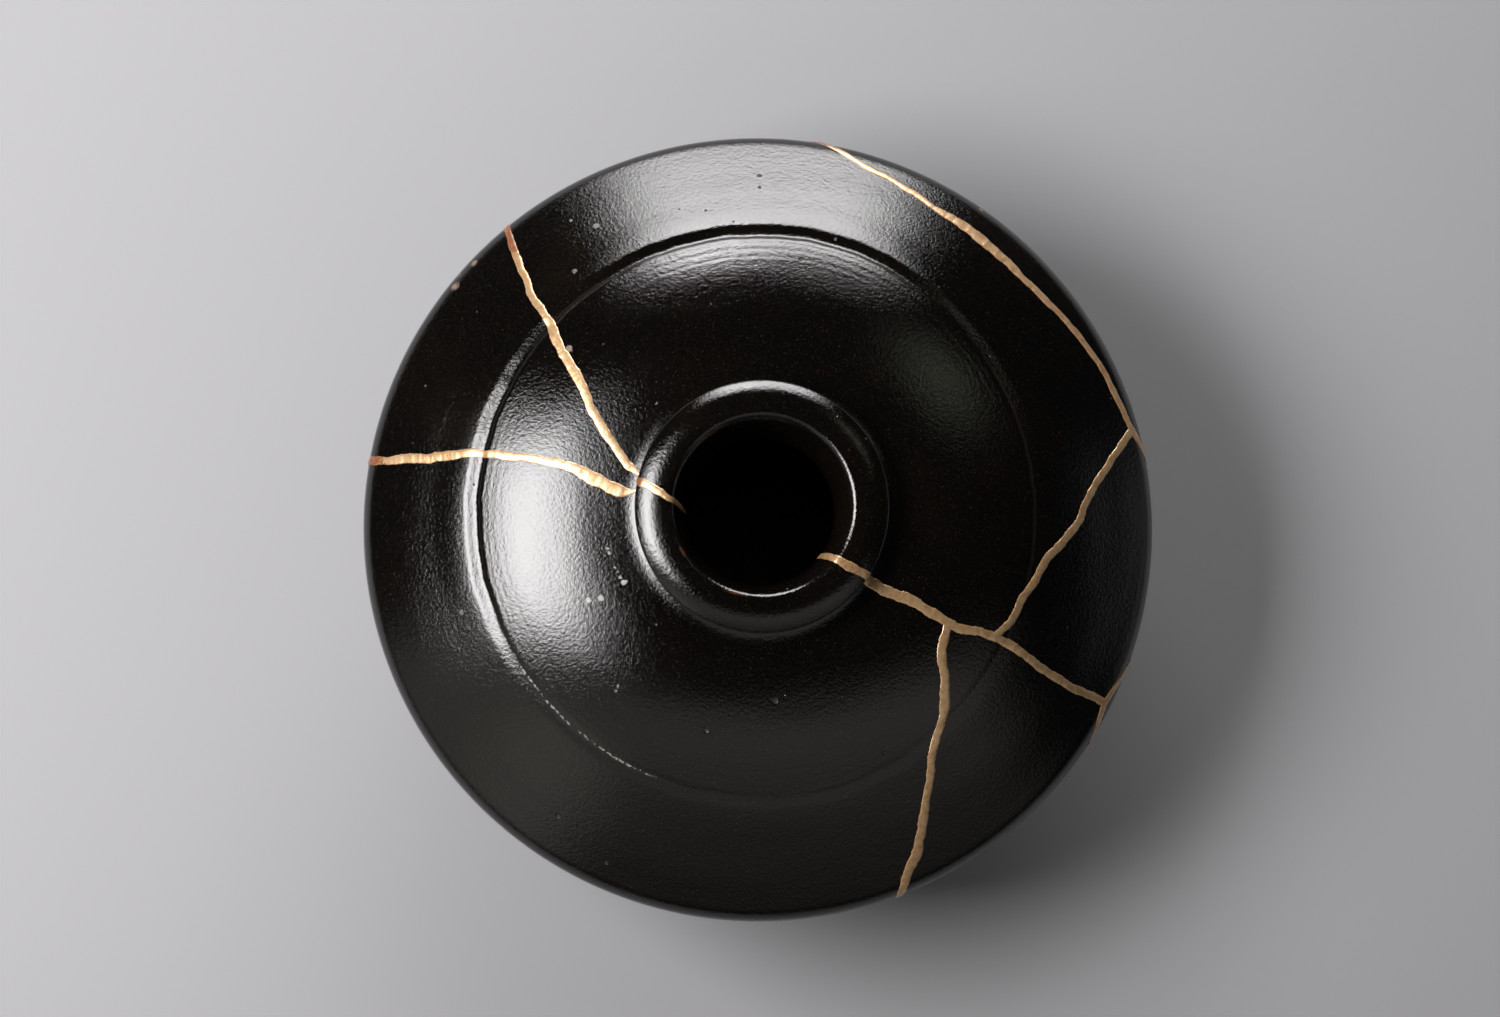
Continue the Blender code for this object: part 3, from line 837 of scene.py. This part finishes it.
def makeBody(name, openings):
    # the rest of the jar: lip, band and foot outside, band and floor inside, closed at the axis and
    # at the throat, with the broken faces round the openings
    openings = [shiftLoop(loop, -(lacquer["webHalf"] + lacquer["play"])) for loop in openings]
    columns, share = grain["columns"], grain["insideShare"]
    blocks = Blocks()
    lipTurn = tapeAt(jar["lipEdge"])
    ridge = tapeAt((jar["lipRidge"][0], jar["lipRidge"][1] + jar["ridgeRound"]))
    lipRows = spacedRows((
        (throatTape, 1.9), (ridge - 4.5, 0.45), (ridge + 1, 0.8),
        (lipTurn - 2.2, 0.38), (lipTurn + 1.8, 0.8), (waistTape, 1),
    ))
    addTurned(blocks, columns, lipRows, "outside")
    addWall(blocks, columns, outsideRows, [], openings, "outside")
    footRows = spacedRows((
        (bandEndTape, 4), (footTopTape - 1, 0.8), (footTopTape + 16, 0.9), (footTopTape + 24, 6),
        (lastTape - 5, 1),
    ))
    addTurned(blocks, columns, footRows, "outside")
    addCap(blocks, columns, footRows[-1], "outside")
    addNeckJoin(blocks, columns, share)
    addWall(blocks, columns // share, insideRows, [], openings, "inside")
    floorRows = spacedRows(((bandEndTape, grain["insideStep"]), (lastTape - 5, 1)))
    addTurned(blocks, columns // share, floorRows, "inside")
    addCap(blocks, columns // share, floorRows[-1], "inside")
    for loop in openings:
        addCrackFace(blocks, loop)
    return blocks.build(name)


say("shaping the sherds")
loops, openings = sherdLoops()
clay = {name: makeSherd("glazed_" + name, loop) for name, loop in loops.items()}
say("shaping the jar")
clay["jar_body"] = makeBody("glazed_jar_body", openings)

# The gold joints

# Places where the gold has worn down to the brown lacquer: (piece, bearing, reach, size, amount)
wornPlaces = (
    ("gold_line_left", 184, 26.6, 4.2, 0.95),
    ("gold_line_left", 171.5, 37.5, 2.2, 0.25),
    ("gold_line_left", 168.3, 43.5, 3.4, 0.9),
    ("gold_line_left", 170.8, 138.5, 10.0, 0.7),
    ("gold_line_left", 131.3, 135, 14.0, 0.7),
    ("gold_line_right", 321, 25.2, 5.0, 0.95),
    ("gold_line_right", 325, 37, 9.0, 0.45),
    ("gold_line_right", 327, 55, 10.0, 0.35),
    ("gold_line_right", 82, 139.5, 9.0, 0.8),
    ("gold_line_right", 75, 134.6, 5.0, 0.35),
    ("gold_line_right", 340, 139.5, 3.0, 0.6),
    ("gold_line_right", 326.5, 139.5, 4.0, 0.5),
    ("gold_line_right", 290.5, 139.5, 3.0, 0.5),
)
section = {
    "domePoints": 9,
    "domePower": 0.65,            # under 1 makes the crown flatter and the sides steeper
    "webSink": 0.3,               # how far under the gold's edges and the inside the web stops
    "beadRoot": 0.1,              # how far the edges of the bead go under the inside
    "beadRise": 0.2,              # height of the bead on the inside
    "lipRoot": 0.8,               # how deep the gold sits in the lip
    "ragged": 0.16,               # unevenness of its two edges, as a share of its width
    "raggedWaves": ((0.35, 1.6, 5), (0.7, 6, 20)),    # share, shortest and longest wave
    "lumps": 0.05,                # unevenness of its height
    "lumpWaves": (1.2, 6),
    "blunt": 1.2,                 # length over which a free end closes
}


def seamSection(half, onLip):
    # The section across the line as rows of (offset, lift, on the inside): a dome, with the cosine of
    # a half turn for its offset and a power of its sine for its lift, and under it a thin web through
    # the wall that ends in a low bead on the inside.
    turn = np.linspace(np.pi, 0, section["domePoints"])
    rise = lacquer["rise"] + lacquer["root"]
    offset = np.where(turn > np.pi / 2, half[0][:, None], half[1][:, None]) * np.cos(turn)
    lift = rise * np.sin(turn) ** section["domePower"] - lacquer["root"] + 0 * offset
    web, bead, sink = lacquer["webHalf"], lacquer["insideHalf"], section["webSink"]
    right = [(web, -lacquer["root"] - sink, 0), (web, -sink, 1)]
    right += [(bead, -section["beadRoot"], 1), (0.5 * bead, section["beadRise"], 1)]
    if onLip:
        right = [(web, -section["lipRoot"], 0)]
    rest = np.array(right + [(-across, up, within) for across, up, within in right[::-1]])
    rows = len(offset)
    offset = np.hstack([offset, np.tile(rest[:, 0], (rows, 1))])
    lift = np.hstack([lift, np.tile(rest[:, 1], (rows, 1))])
    within = np.concatenate([np.zeros(section["domePoints"]), rest[:, 2]]) > 0
    return offset, lift, within


def tubeFaces(rows, ring, closed):
    # faces between each ring of a tube and the next, and from the last to the first if it is closed
    index = np.arange(rows * ring).reshape(rows, ring)
    after = np.roll(index, -1, axis=1)
    faces = np.stack([index, after, np.roll(after, -1, axis=0), np.roll(index, -1, axis=0)], axis=-1)
    return (faces if closed else faces[:-1]).reshape(-1, 4)


def changeAlong(values, closed):
    # half the difference of the neighbours on both sides
    return (np.roll(values, -1) - np.roll(values, 1)) / 2 if closed else np.gradient(values)


def raggedEdges(at, total, width, closed, rng):
    # distance of both edges from the crack: half the gold width, times one plus a sum of sines
    edges = []
    for _ in range(2):
        rough = 0
        for share, shortest, longest in section["raggedWaves"]:
            rough = rough + share * unevenness(at, total, closed, shortest, longest, rng)
        edges.append(width / 2 * (1 + section["ragged"] * rough))
    return edges


def addSeam(blocks, shares, line, closed, onLip, freeStart, rng):
    # one gold line: its section stands square to the crack at every even step along it, so a point
    # lies at the crack's bearing and tape distance plus its offset times the direction across
    if closed:
        line = np.vstack([line, line[:1]])
    length = lengthAlong(line)
    total = length[-1]
    at = np.linspace(0, total, int(round(total / lacquer["step"])) + 1)
    if closed:
        at = at[:-1]
    bearing, tape, width = (np.interp(at, length, line[:, k]) for k in range(3))
    radius = np.interp(tape, outsideTape, outside[:, 0])
    run, turn = changeAlong(tape, closed), radius * changeAlong(bearing, closed)
    size = np.hypot(run, turn)
    run, turn = run / size, turn / size
    close = np.sqrt(np.clip(at / section["blunt"], 0.02, 1)) if freeStart else np.ones(len(at))
    edges = [half * close for half in raggedEdges(at, total, width, closed, rng)]
    offset, lift, within = seamSection(edges, onLip)
    lumps = section["lumps"] * unevenness(at, total, closed, *section["lumpWaves"], rng)
    lift = lift + np.where((lift > 0) & ~within, 1, 0) * lumps[:, None]
    lift = np.where(lift > 0, lift * close[:, None], lift)
    toward = bearing[:, None] + offset * run[:, None] / radius[:, None]
    along = tape[:, None] - offset * turn[:, None]
    points = np.where(
        within[None, :, None], clayPoint(toward, along, lift, side="inside"), clayPoint(toward, along, lift)
    )
    share = np.clip(np.where(lift <= 0, 1, abs(offset) / np.maximum(*edges)[:, None]), 0, 1)
    share[:, section["domePoints"]:] = 1
    rows, ring = offset.shape
    corners, faces = points.reshape(-1, 3), [tubeFaces(rows, ring, closed)]
    if not closed:
        corners = np.vstack([corners, points[0].mean(axis=0), points[-1].mean(axis=0)])
        faces += [fanFaces(0, ring, rows * ring), fanFaces((rows - 1) * ring, ring, rows * ring + 1)]
        share = np.append(share, [1, 1])
    blocks.add(corners, *faces)
    shares.append(share.ravel())


def makeGold(name, pieceCracks):
    # All lines of a joint as one piece. Each point keeps its share of the way from the middle of the
    # line to its edge, and how worn it is: a bell curve of its distance from the worn places.
    blocks, shares = Blocks(), []
    rng = np.random.default_rng(lacquer["seed"] + len(name))
    for route, line in pieceCracks.items():
        free = route in ("lip", "spine")
        addSeam(blocks, shares, line, route in closedCracks, route == "lip", free, rng)
    piece = blocks.build(name, weld=0)
    mesh = piece.data
    points = np.vstack(blocks.points) / mm
    worn = np.zeros(len(points))
    for owner, bearing, reach, size, amount in wornPlaces:
        if owner == name:
            place = clayPoint(np.radians(bearing), tapeOfReach(reach)) / mm
            worn = np.maximum(worn, amount * np.exp(-((np.linalg.norm(points - place, axis=1) / size) ** 2)))
    for label, values in (("acrossLine", np.concatenate(shares)), ("wornGold", worn)):
        mesh.attributes.new(label, "FLOAT", "POINT").data.foreach_set("value", values)
    return piece


say("laying the gold")
gold = {
    name: makeGold(name, {route: crackLines[name, route] for route in routes})
    for name, routes in cracks.items()
}

# Materials


class Field:
    # a value or colour in a material, which arithmetic combines with others
    def __init__(self, paint, socket):
        self.paint = paint
        self.socket = socket

    def math(self, operation, *others):
        return self.paint.node("ShaderNodeMath", {"operation": operation}, [self, *others])

    def __add__(self, other):
        return self.math("ADD", other)

    def __mul__(self, other):
        return self.math("MULTIPLY", other)

    def __sub__(self, other):
        return self.math("SUBTRACT", other)

    def __rsub__(self, other):
        return self * -1 + other

    __radd__ = __add__
    __rmul__ = __mul__

    def most(self, other):
        return self.math("MAXIMUM", other)

    def size(self):
        # the same number without its sign
        return self.math("ABSOLUTE")

    def rise(self, low, high):
        # 0 at low, 1 at high, and a smooth S between them
        values = {"Value": self, "From Min": low, "From Max": high}
        return self.paint.node("ShaderNodeMapRange", {"interpolation_type": "SMOOTHSTEP"}, values)


class Nodes:
    # the nodes of one material or light
    def __init__(self, owner):
        owner.use_nodes = True
        self.tree = owner.node_tree

    def node(self, kind, settings=None, values=(), out=0):
        made = self.tree.nodes.new(kind)
        for key, value in (settings or {}).items():
            setattr(made, key, value)
        pairs = values.items() if isinstance(values, dict) else enumerate(values)
        for key, value in pairs:
            if isinstance(value, Field):
                self.tree.links.new(value.socket, made.inputs[key])
            else:
                made.inputs[key].default_value = value
        return Field(self, made.outputs[out])


class Paint(Nodes):
    # one material
    def __init__(self, name):
        self.material = bpy.data.materials.new(name)
        super().__init__(self.material)
        self.surface = self.tree.nodes["Principled BSDF"]

    def vector(self, operation, *values, out="Vector"):
        return self.node("ShaderNodeVectorMath", {"operation": operation}, values, out)

    def place(self):
        # position in millimetres
        return self.node("ShaderNodeVectorMath", {"operation": "SCALE"}, {
            0: self.node("ShaderNodeTexCoord", out="Object"), "Scale": 1 / mm,
        })

    def noise(self, place, size, detail, roughness):
        # soft noise from 0 to 1, with features about size millimetres across
        return self.node("ShaderNodeTexNoise", {}, {
            "Vector": place, "Scale": 1 / size, "Detail": detail, "Roughness": roughness,
        })

    def cells(self, place, size, out="Distance"):
        # distance from the middle of the nearest of many scattered cells, or that cell's own colour
        return self.node("ShaderNodeTexVoronoi", {}, {"Vector": place, "Scale": 1 / size}, out)

    def spot(self, place, bearing, reach):
        # distance in millimetres from a place of the outside
        point = clayPoint(np.radians(bearing), tapeOfReach(reach)) / mm
        return self.vector("DISTANCE", place, tuple(point), out="Value")

    def attribute(self, name):
        return self.node("ShaderNodeAttribute", {"attribute_name": name}, (), "Fac")

    def mix(self, share, first, second):
        # first where share is 0, second where it is 1
        first, second = (v if isinstance(v, Field) else (*v, 1.0) for v in (first, second))
        made = self.node("ShaderNodeMix", {"data_type": "RGBA"}, {"Factor": share}, 2)
        for key, value in ((6, first), (7, second)):
            if isinstance(value, Field):
                self.tree.links.new(value.socket, made.socket.node.inputs[key])
            else:
                made.socket.node.inputs[key].default_value = value
        return made

    def spread(self, share, first, second):
        # a number that goes from first to second
        return share * (second - first) + first

    def relief(self, height):
        # height in millimetres
        return self.node("ShaderNodeBump", {}, {"Strength": 1.0, "Distance": mm, "Height": height})

    def finish(self, **inputs):
        for key, value in inputs.items():
            socket = self.surface.inputs[key.replace("_", " ")]
            if isinstance(value, Field):
                self.tree.links.new(value.socket, socket)
            else:
                socket.default_value = value
        return self.material


glazeLook = {
    "black": (0.0012, 0.0010, 0.0009),
    "brown": (0.0055, 0.0034, 0.0019),     # where the glaze is thinner
    "crystals": (0.012, 0.0095, 0.006),    # the finest brown speckle
    "thin": (0.008, 0.007, 0.006),         # painted highlight: a faint pale ring on the edge of the step
    "chipped": (0.15, 0.10, 0.07),         # bare clay in small chips
    "rust": (0.115, 0.045, 0.020),         # breaks through at the sharp edges
    "white": (0.27, 0.26, 0.24),           # drops of pale glaze, and the painted highlight along the groove
    "bareClay": (0.085, 0.052, 0.034),
    "brownShare": 0.28,
    "crystalShare": 0.3,
    "crystalSize": 0.5,
    "roughness": 0.045,
    "wideSize": 46,                        # of the slow changes
    "middlingSize": 7,
    "fineSize": 0.8,
    "peelSize": 1.15,
    "peelHeight": 0.125,
    "ripplySize": 5.0,
    "ripplyHeight": 0.030,
    "pitSize": 9.0,                        # from pinhole to pinhole
    "pitRadius": 0.55,
    "pitDepth": 0.16,
    "speckSize": 0.9,
    "stepRadius": 97.4,                    # the pale ring painted on the step as a highlight, and how far it is off the axis
    "stepShift": (2.2, 0, 0),
    # the painted highlight along the groove on the front left
    "glintRadius": 98.2,
    "glintMiddle": (229, 98.5),          # bearing and reach
    "glintHalf": (35, 29),               # it fades out between these distances from there
    "beadRadius": 31.7,                    # the rust on the bead, and the place that has most of it
    "beadMiddle": (235, 32),
    "bareHeight": 2.2,                     # the tread of the foot ring is bare below it
    "bareRadius": 50,
}

# Drops and dribbles of pale glaze: (bearing, reach, radius, height, paleness)
drops = (
    (209, 63, 1.1, 0.16, 1.0), (208, 67, 0.7, 0.12, 0.9), (194.6, 54.6, 0.45, 0.08, 0.6),
    (196.4, 54.4, 0.5, 0.08, 0.6), (202.2, 54.2, 0.8, 0.10, 0.7), (204, 54, 0.9, 0.12, 0.8),
    (206, 53.8, 0.7, 0.12, 0.8), (208.4, 53.4, 0.9, 0.14, 1.0), (127, 108, 0.8, 0.12, 0.3),
    (119, 119, 1.2, 0.14, 0.4), (122, 126, 0.7, 0.10, 0.4), (198, 109, 0.8, 0.12, 0.3),
    (231, 78, 0.7, 0.10, 0.5), (214, 58.5, 0.45, 0.08, 0.5),
)
# Open pits in the glaze: (bearing, reach, radius)
pits = (
    (90, 123, 1.0), (90, 118, 0.7), (81, 90, 1.2), (274, 66, 1.4), (256, 78, 1.1), (100, 110, 0.6),
    (75, 101, 0.7), (297, 93, 0.8), (236, 125, 1.3), (246, 131, 0.9),
)
# Brown chips and stains: (bearing, reach, radius)
edgeChips = (
    (137.4, 137.4, 1.7), (142, 137.2, 2.0), (140, 138.8, 1.0), (55, 138.4, 1.3), (139.4, 87.6, 1.2),
    (231, 79.5, 0.8),
)


def most(masks):
    # the highest of several masks
    masks = list(masks)
    best = masks[0]
    for mask in masks[1:]:
        best = best.most(mask)
    return best


class GlazeGround:
    # what the masks of the glaze are worked out from: place, height, radius and noises of three sizes
    def __init__(self, paint, look):
        self.paint, self.look = paint, look
        self.place = paint.place()
        self.level = paint.node("ShaderNodeSeparateXYZ", {}, [self.place], "Z")
        self.flatPlace = paint.vector("MULTIPLY", self.place, (1, 1, 0))
        self.radius = paint.vector("LENGTH", self.flatPlace, out="Value")
        self.wide = paint.noise(self.place, look["wideSize"], 3, 0.6)
        self.middling = paint.noise(self.place, look["middlingSize"], 3, 0.6)
        self.fine = paint.noise(self.place, look["fineSize"], 2, 0.7)

    def spot(self, bearing, reach):
        return self.paint.spot(self.place, bearing, reach)

    def pinholes(self):
        # scattered ones, in a fifth of the cells, and the open pits
        spacing, radius = self.look["pitSize"], self.look["pitRadius"]
        cellColour = self.paint.cells(self.place, spacing, out="Color")
        chosen = self.paint.node("ShaderNodeSeparateColor", {}, [cellColour], 0)
        depth = self.paint.cells(self.place, spacing).rise(radius / spacing, 0.3 * radius / spacing)
        hole = depth * chosen.rise(0.80, 0.82)
        return most([hole, *(self.spot(*pit[:2]).rise(pit[2], 0.4 * pit[2]) for pit in pits)])

    def drops(self):
        # how pale the drops are, and how high they stand; noise makes their outlines uneven
        uneven = []
        for bearing, reach, size, rise, paleness in drops:
            away = self.spot(bearing, reach) + (self.middling - 0.5) * 2.6 + (self.fine - 0.5) * 1.4
            uneven.append((away.rise(size, 0.6 * size), rise, paleness))
        pale = most(mask * paleness for mask, _, paleness in uneven)
        return pale, most(mask * rise for mask, rise, _ in uneven)

    def paintedGlint(self):
        # a broken pale line painted along the groove on the front left: a painted highlight, the glint of the
        # groove's edge
        front = self.spot(*self.look["glintMiddle"]).rise(*self.look["glintHalf"])
        away = (self.radius - self.look["glintRadius"] + (self.middling - 0.5) * 1.6).size()
        return away.rise(0.45, 0.15) * front * self.paint.noise(self.place, 1.7, 2, 0.7).rise(0.46, 0.60)

    def stepHighlight(self):
        # a faint pale ring painted in patches along the edge of the step: a painted highlight
        stepPlace = self.paint.vector("ADD", self.flatPlace, self.look["stepShift"])
        stepReach = self.paint.vector("LENGTH", stepPlace, out="Value")
        away = (stepReach - self.look["stepRadius"] + (self.middling - 0.5) * 1.2).size()
        return away.rise(0.9, 0.2) * self.level.rise(90, 92) * self.wide.rise(0.30, 0.55)

    def rust(self):
        # rust where the glaze runs thin: on the belly edge and on the bead round the mouth
        atBelly = (self.level - jar["bellyHeight"] + (self.middling - 0.5) * 3).size().rise(1.5, 0.4)
        patches = (self.middling * 0.5 + self.wide * 0.5).rise(0.40, 0.54)
        bellyEdge = atBelly * self.radius.rise(139, 139.3) * patches
        bead = (self.radius - self.look["beadRadius"]).size().rise(0.75, 0.2) * self.level.rise(124.5, 125.6)
        bead = bead * self.middling.rise(0.50, 0.62) * self.spot(*self.look["beadMiddle"]).rise(30, 18)
        return (bellyEdge * 0.75).most(bead * 0.3)

    def chips(self):
        # small chips with uneven outlines
        masks = []
        for bearing, reach, size in edgeChips:
            away = self.spot(bearing, reach) + (self.fine - 0.5) * 2.4 + (self.middling - 0.5) * 3
            masks.append(away.rise(size, 0.2 * size))
        return most(masks)

    def bareFoot(self):
        # bare clay on the tread of the foot ring
        low, inner = self.look["bareHeight"], self.look["bareRadius"]
        outward = self.radius + (self.middling - 0.5) * 3
        return self.level.rise(low, low - 0.6) * outward.rise(inner, inner + 1)


def glazePaint():
    # black glaze: each mask lays its colour over the ones before, and adds to roughness and relief
    paint, look = Paint("black_glaze"), glazeLook
    ground = GlazeGround(paint, look)
    place, wide, middling, fine = ground.place, ground.wide, ground.middling, ground.fine
    peel = paint.noise(place, look["peelSize"], 4, 0.62)
    ripple = paint.noise(place, look["ripplySize"], 1, 0.4)
    pinhole = ground.pinholes()
    speck = paint.cells(place, look["speckSize"]).rise(0.30, 0.16) * fine.rise(0.56, 0.66)
    crystals = paint.noise(place, look["crystalSize"], 1, 0.5).rise(0.50, 0.72)
    pale, height = ground.drops()
    # paintedGlint is a painted highlight along the groove, laid on in the pale colour of the drops
    paintedGlint, thin, rust, chips, bare = (
        ground.paintedGlint(), ground.stepHighlight(), ground.rust(), ground.chips(), ground.bareFoot()
    )
    colour = paint.mix(wide.rise(0.42, 0.72) * look["brownShare"], look["black"], look["brown"])
    # the thin ring on the step and the pale glint along the groove are painted highlights; the other masks
    # are the glaze's own colours
    for mask, name in (
        (crystals * look["crystalShare"], "crystals"), (thin * 0.8, "thin"), (speck * 0.35, "rust"),
        (rust, "rust"), (chips * 0.8, "chipped"), (pale.most(paintedGlint * 0.6), "white"), (bare, "bareClay"),
    ):
        colour = paint.mix(mask, colour, look[name])
    rough = paint.spread(middling, look["roughness"] * 0.8, look["roughness"] * 1.3) + fine * 0.02
    rough = rough.most(rust.most(chips) * 0.4).most(paintedGlint * 0.5).most(bare * 0.85).most(pinhole * 0.6)
    bump = peel * look["peelHeight"] + ripple * look["ripplyHeight"] + height
    bump = bump - pinhole * look["pitDepth"] + speck * 0.004 - chips * 0.12 + bare * (fine * 0.12 - 0.1)
    return paint.finish(Base_Color=colour, Roughness=rough, IOR=1.52, Normal=paint.relief(bump))


goldLook = {
    "powder": (0.385, 0.205, 0.080),
    "pale": (0.49, 0.325, 0.170),
    "lacquer": (0.13, 0.042, 0.018),
    "metallic": 0.6,
    "coat": 0.7,
    "coatIor": 1.6,
    "coatRoughness": 0.28,
    "roughness": 0.35,
    "grainSize": 0.35,
    "grainHeight": 0.035,
    "patchSize": 2.2,
    "lumpSize": 1.3,
    "lumpHeight": 0.10,
}


def goldPaint():
    # gold powder on brown lacquer, which shows along the edges and where the gold is worn
    paint, look = Paint("gold_lacquer"), goldLook
    place = paint.place()
    grainy = paint.noise(place, look["grainSize"], 2, 0.6)
    patchy = paint.noise(place, look["patchSize"], 3, 0.65)
    lumpy = paint.noise(place, look["lumpSize"], 2, 0.5)
    edge = paint.attribute("acrossLine")
    worn = paint.attribute("wornGold")
    brownEdge = (edge + (patchy - 0.5) * 0.5).rise(0.80, 1.0)
    brownSpot = (worn + (patchy - 0.5) * 0.9 + (grainy - 0.5) * 0.3).rise(0.30, 0.62)
    bareness = brownEdge.most(brownSpot) * grainy.rise(0.25, 0.45).most(0.75)
    thin = patchy.rise(0.60, 0.74) * grainy.rise(0.48, 0.62) * 0.5
    colour = paint.mix(patchy.rise(0.3, 0.62), look["powder"], look["pale"])
    colour = paint.mix(bareness.most(thin), colour, look["lacquer"])
    metal = (1 - bareness) * look["metallic"]
    rough = paint.spread(grainy, look["roughness"] * 0.85, look["roughness"] * 1.2) - bareness * 0.1
    bump = grainy * look["grainHeight"] + lumpy * look["lumpHeight"]
    coat = (1 - bareness) * look["coat"]
    return paint.finish(
        Base_Color=colour, Metallic=metal, Roughness=rough, Normal=paint.relief(bump), Coat_Weight=coat,
        Coat_IOR=look["coatIor"], Coat_Roughness=look["coatRoughness"],
    )


say("mixing the glaze and the gold")
blackGlaze, goldLacquer = glazePaint(), goldPaint()
for node, piece in clay.items():
    piece.data.materials.append(blackGlaze)
    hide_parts(node)
for side, node in (("gold_line_left", "gold_seam_left"), ("gold_line_right", "gold_seam_right")):
    gold[side].data.materials.append(goldLacquer)
    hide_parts(node)
for piece in [*clay.values(), *gold.values()]:
    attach(piece, "root")

# Floor, lights and camera

studio = {
    "floorSize": 9.0,
    "floorColour": (0.25, 0.25, 0.26),
    "floorRoughness": 0.75,
    "floorShade": 0.94,           # brightness of its darker, very wide patches
    "floorPatch": 900,
    "background": (0.010, 0.011, 0.013),
    "middle": (0, 0, 0.07),       # the lights face this point
    "aim": (-0.0030, 0.0061, 0.068),          # and the camera this one
    "cameraElevation": 82.8,
    "cameraLean": 1.2,
    "cameraDistance": 1.478,
    "focalLength": 100.0,
}
# Soft lights: name, bearing, angle from straight up, distance, width, depth, softness of the edges,
# softness of the lower edge, brightness, colour. Angles are in degrees and sizes in metres.
softLights = (
    ("left_softbox", 176, 45, 1.2, 0.80, 0.65, 0.03, 0.14, 20, (1.0, 0.98, 0.98)),
    ("rear_softbox", 88.5, 74.3, 1.25, 0.97, 0.57, 0.04, 0.04, 12, (1.0, 0.98, 0.98)),
    ("rear_tube", 98, 64.0, 1.12, 0.46, 0.035, 0.25, 0.30, 60, (1.0, 0.98, 0.98)),
    ("front_card", 272, 57.5, 1.2, 2.8, 1.42, 0.02, 0.90, 0.47, (1.0, 0.97, 0.90)),
    ("front_left_card", 214, 72, 1.3, 1.1, 0.80, 0.10, 0.30, 0.50, (1.0, 0.97, 0.88)),
    ("right_card", 0, 84, 1.3, 1.0, 0.22, 0.20, 0.20, 0.45, (0.95, 1.0, 1.0)),
    ("window_glint", 43, 47.5, 1.6, 0.34, 0.16, 0.10, 0.10, 1.9, (0.95, 1.0, 0.78)),
)


def makeFloor():
    # one square, level with the foot
    half = studio["floorSize"] / 2
    corners = [(-half, -half, 0), (half, -half, 0), (half, half, 0), (-half, half, 0)]
    mesh = bpy.data.meshes.new("floor")
    mesh.from_pydata(corners, [], [(0, 1, 2, 3)])
    floor = bpy.data.objects.new("floor", mesh)
    bpy.context.scene.collection.objects.link(floor)
    paint = Paint("floor_paper")
    place = paint.place()
    patch = paint.noise(place, studio["floorPatch"], 2, 0.5).rise(0.2, 0.8)
    bright = studio["floorColour"]
    colour = paint.mix(patch, bright, tuple(studio["floorShade"] * part for part in bright))
    mesh.materials.append(paint.finish(Base_Color=colour, Roughness=studio["floorRoughness"]))


def softenEdges(light, softness, lowSoftness):
    # the light fades out towards its four sides, as smooth S curves over a share of its width and
    # depth, which at its lower side is another
    nodes = Nodes(light)
    spot = nodes.node("ShaderNodeNewGeometry", out="Parametric")
    strength = 1
    for axis, first in (("X", softness), ("Y", lowSoftness)):
        across = nodes.node("ShaderNodeSeparateXYZ", {}, [spot], axis)
        strength = across.rise(0, first) * across.rise(1, 1 - softness) * strength
    nodes.tree.links.new(strength.socket, nodes.tree.nodes["Emission"].inputs["Strength"])


def makeLights():
    # each light hangs at its distance from the middle of the jar, in the direction that its bearing
    # and angle give, and faces it
    middle = Vector(studio["middle"])
    for name, bearing, angle, distance, width, depth, softness, lowSoftness, brightness, colour in softLights:
        around, over = math.radians(bearing), math.radians(angle)
        away = Vector((math.sin(over) * math.cos(around), math.sin(over) * math.sin(around), math.cos(over)))
        light = bpy.data.lights.new(name, "AREA")
        light.shape = "RECTANGLE"
        light.size, light.size_y = width, depth
        light.energy = brightness * math.pi * width * depth
        light.color = colour
        softenEdges(light, softness, lowSoftness)
        lamp = bpy.data.objects.new(name, light)
        lamp.location = middle + distance * away
        lamp.rotation_euler = away.to_track_quat("Z", "Y").to_euler()
        lamp.visible_camera = False
        bpy.context.scene.collection.objects.link(lamp)
    world = bpy.data.worlds.new("dark_room")
    world.use_nodes = True
    world.node_tree.nodes["Background"].inputs["Color"].default_value = (*studio["background"], 1)
    bpy.context.scene.world = world


def makeCamera():
    # the camera looks at its aim from its distance, at its elevation, leaning a little to one side
    over, lean = math.radians(studio["cameraElevation"]), math.radians(studio["cameraLean"])
    away = Vector((-math.sin(lean), -math.cos(over), math.sin(over))).normalized()
    data = bpy.data.cameras.new("camera")
    data.lens = studio["focalLength"]
    camera = bpy.data.objects.new("camera", data)
    camera.location = Vector(studio["aim"]) + studio["cameraDistance"] * away
    right = Vector((0, 1, 0)).cross(away).normalized()
    camera.rotation_euler = Matrix((right, away.cross(right), away)).transposed().to_euler()
    bpy.context.scene.collection.objects.link(camera)
    bpy.context.scene.camera = camera


say("setting the floor, lights and camera")
makeFloor()
makeLights()
makeCamera()
bpy.context.scene.view_settings.view_transform = "Standard"
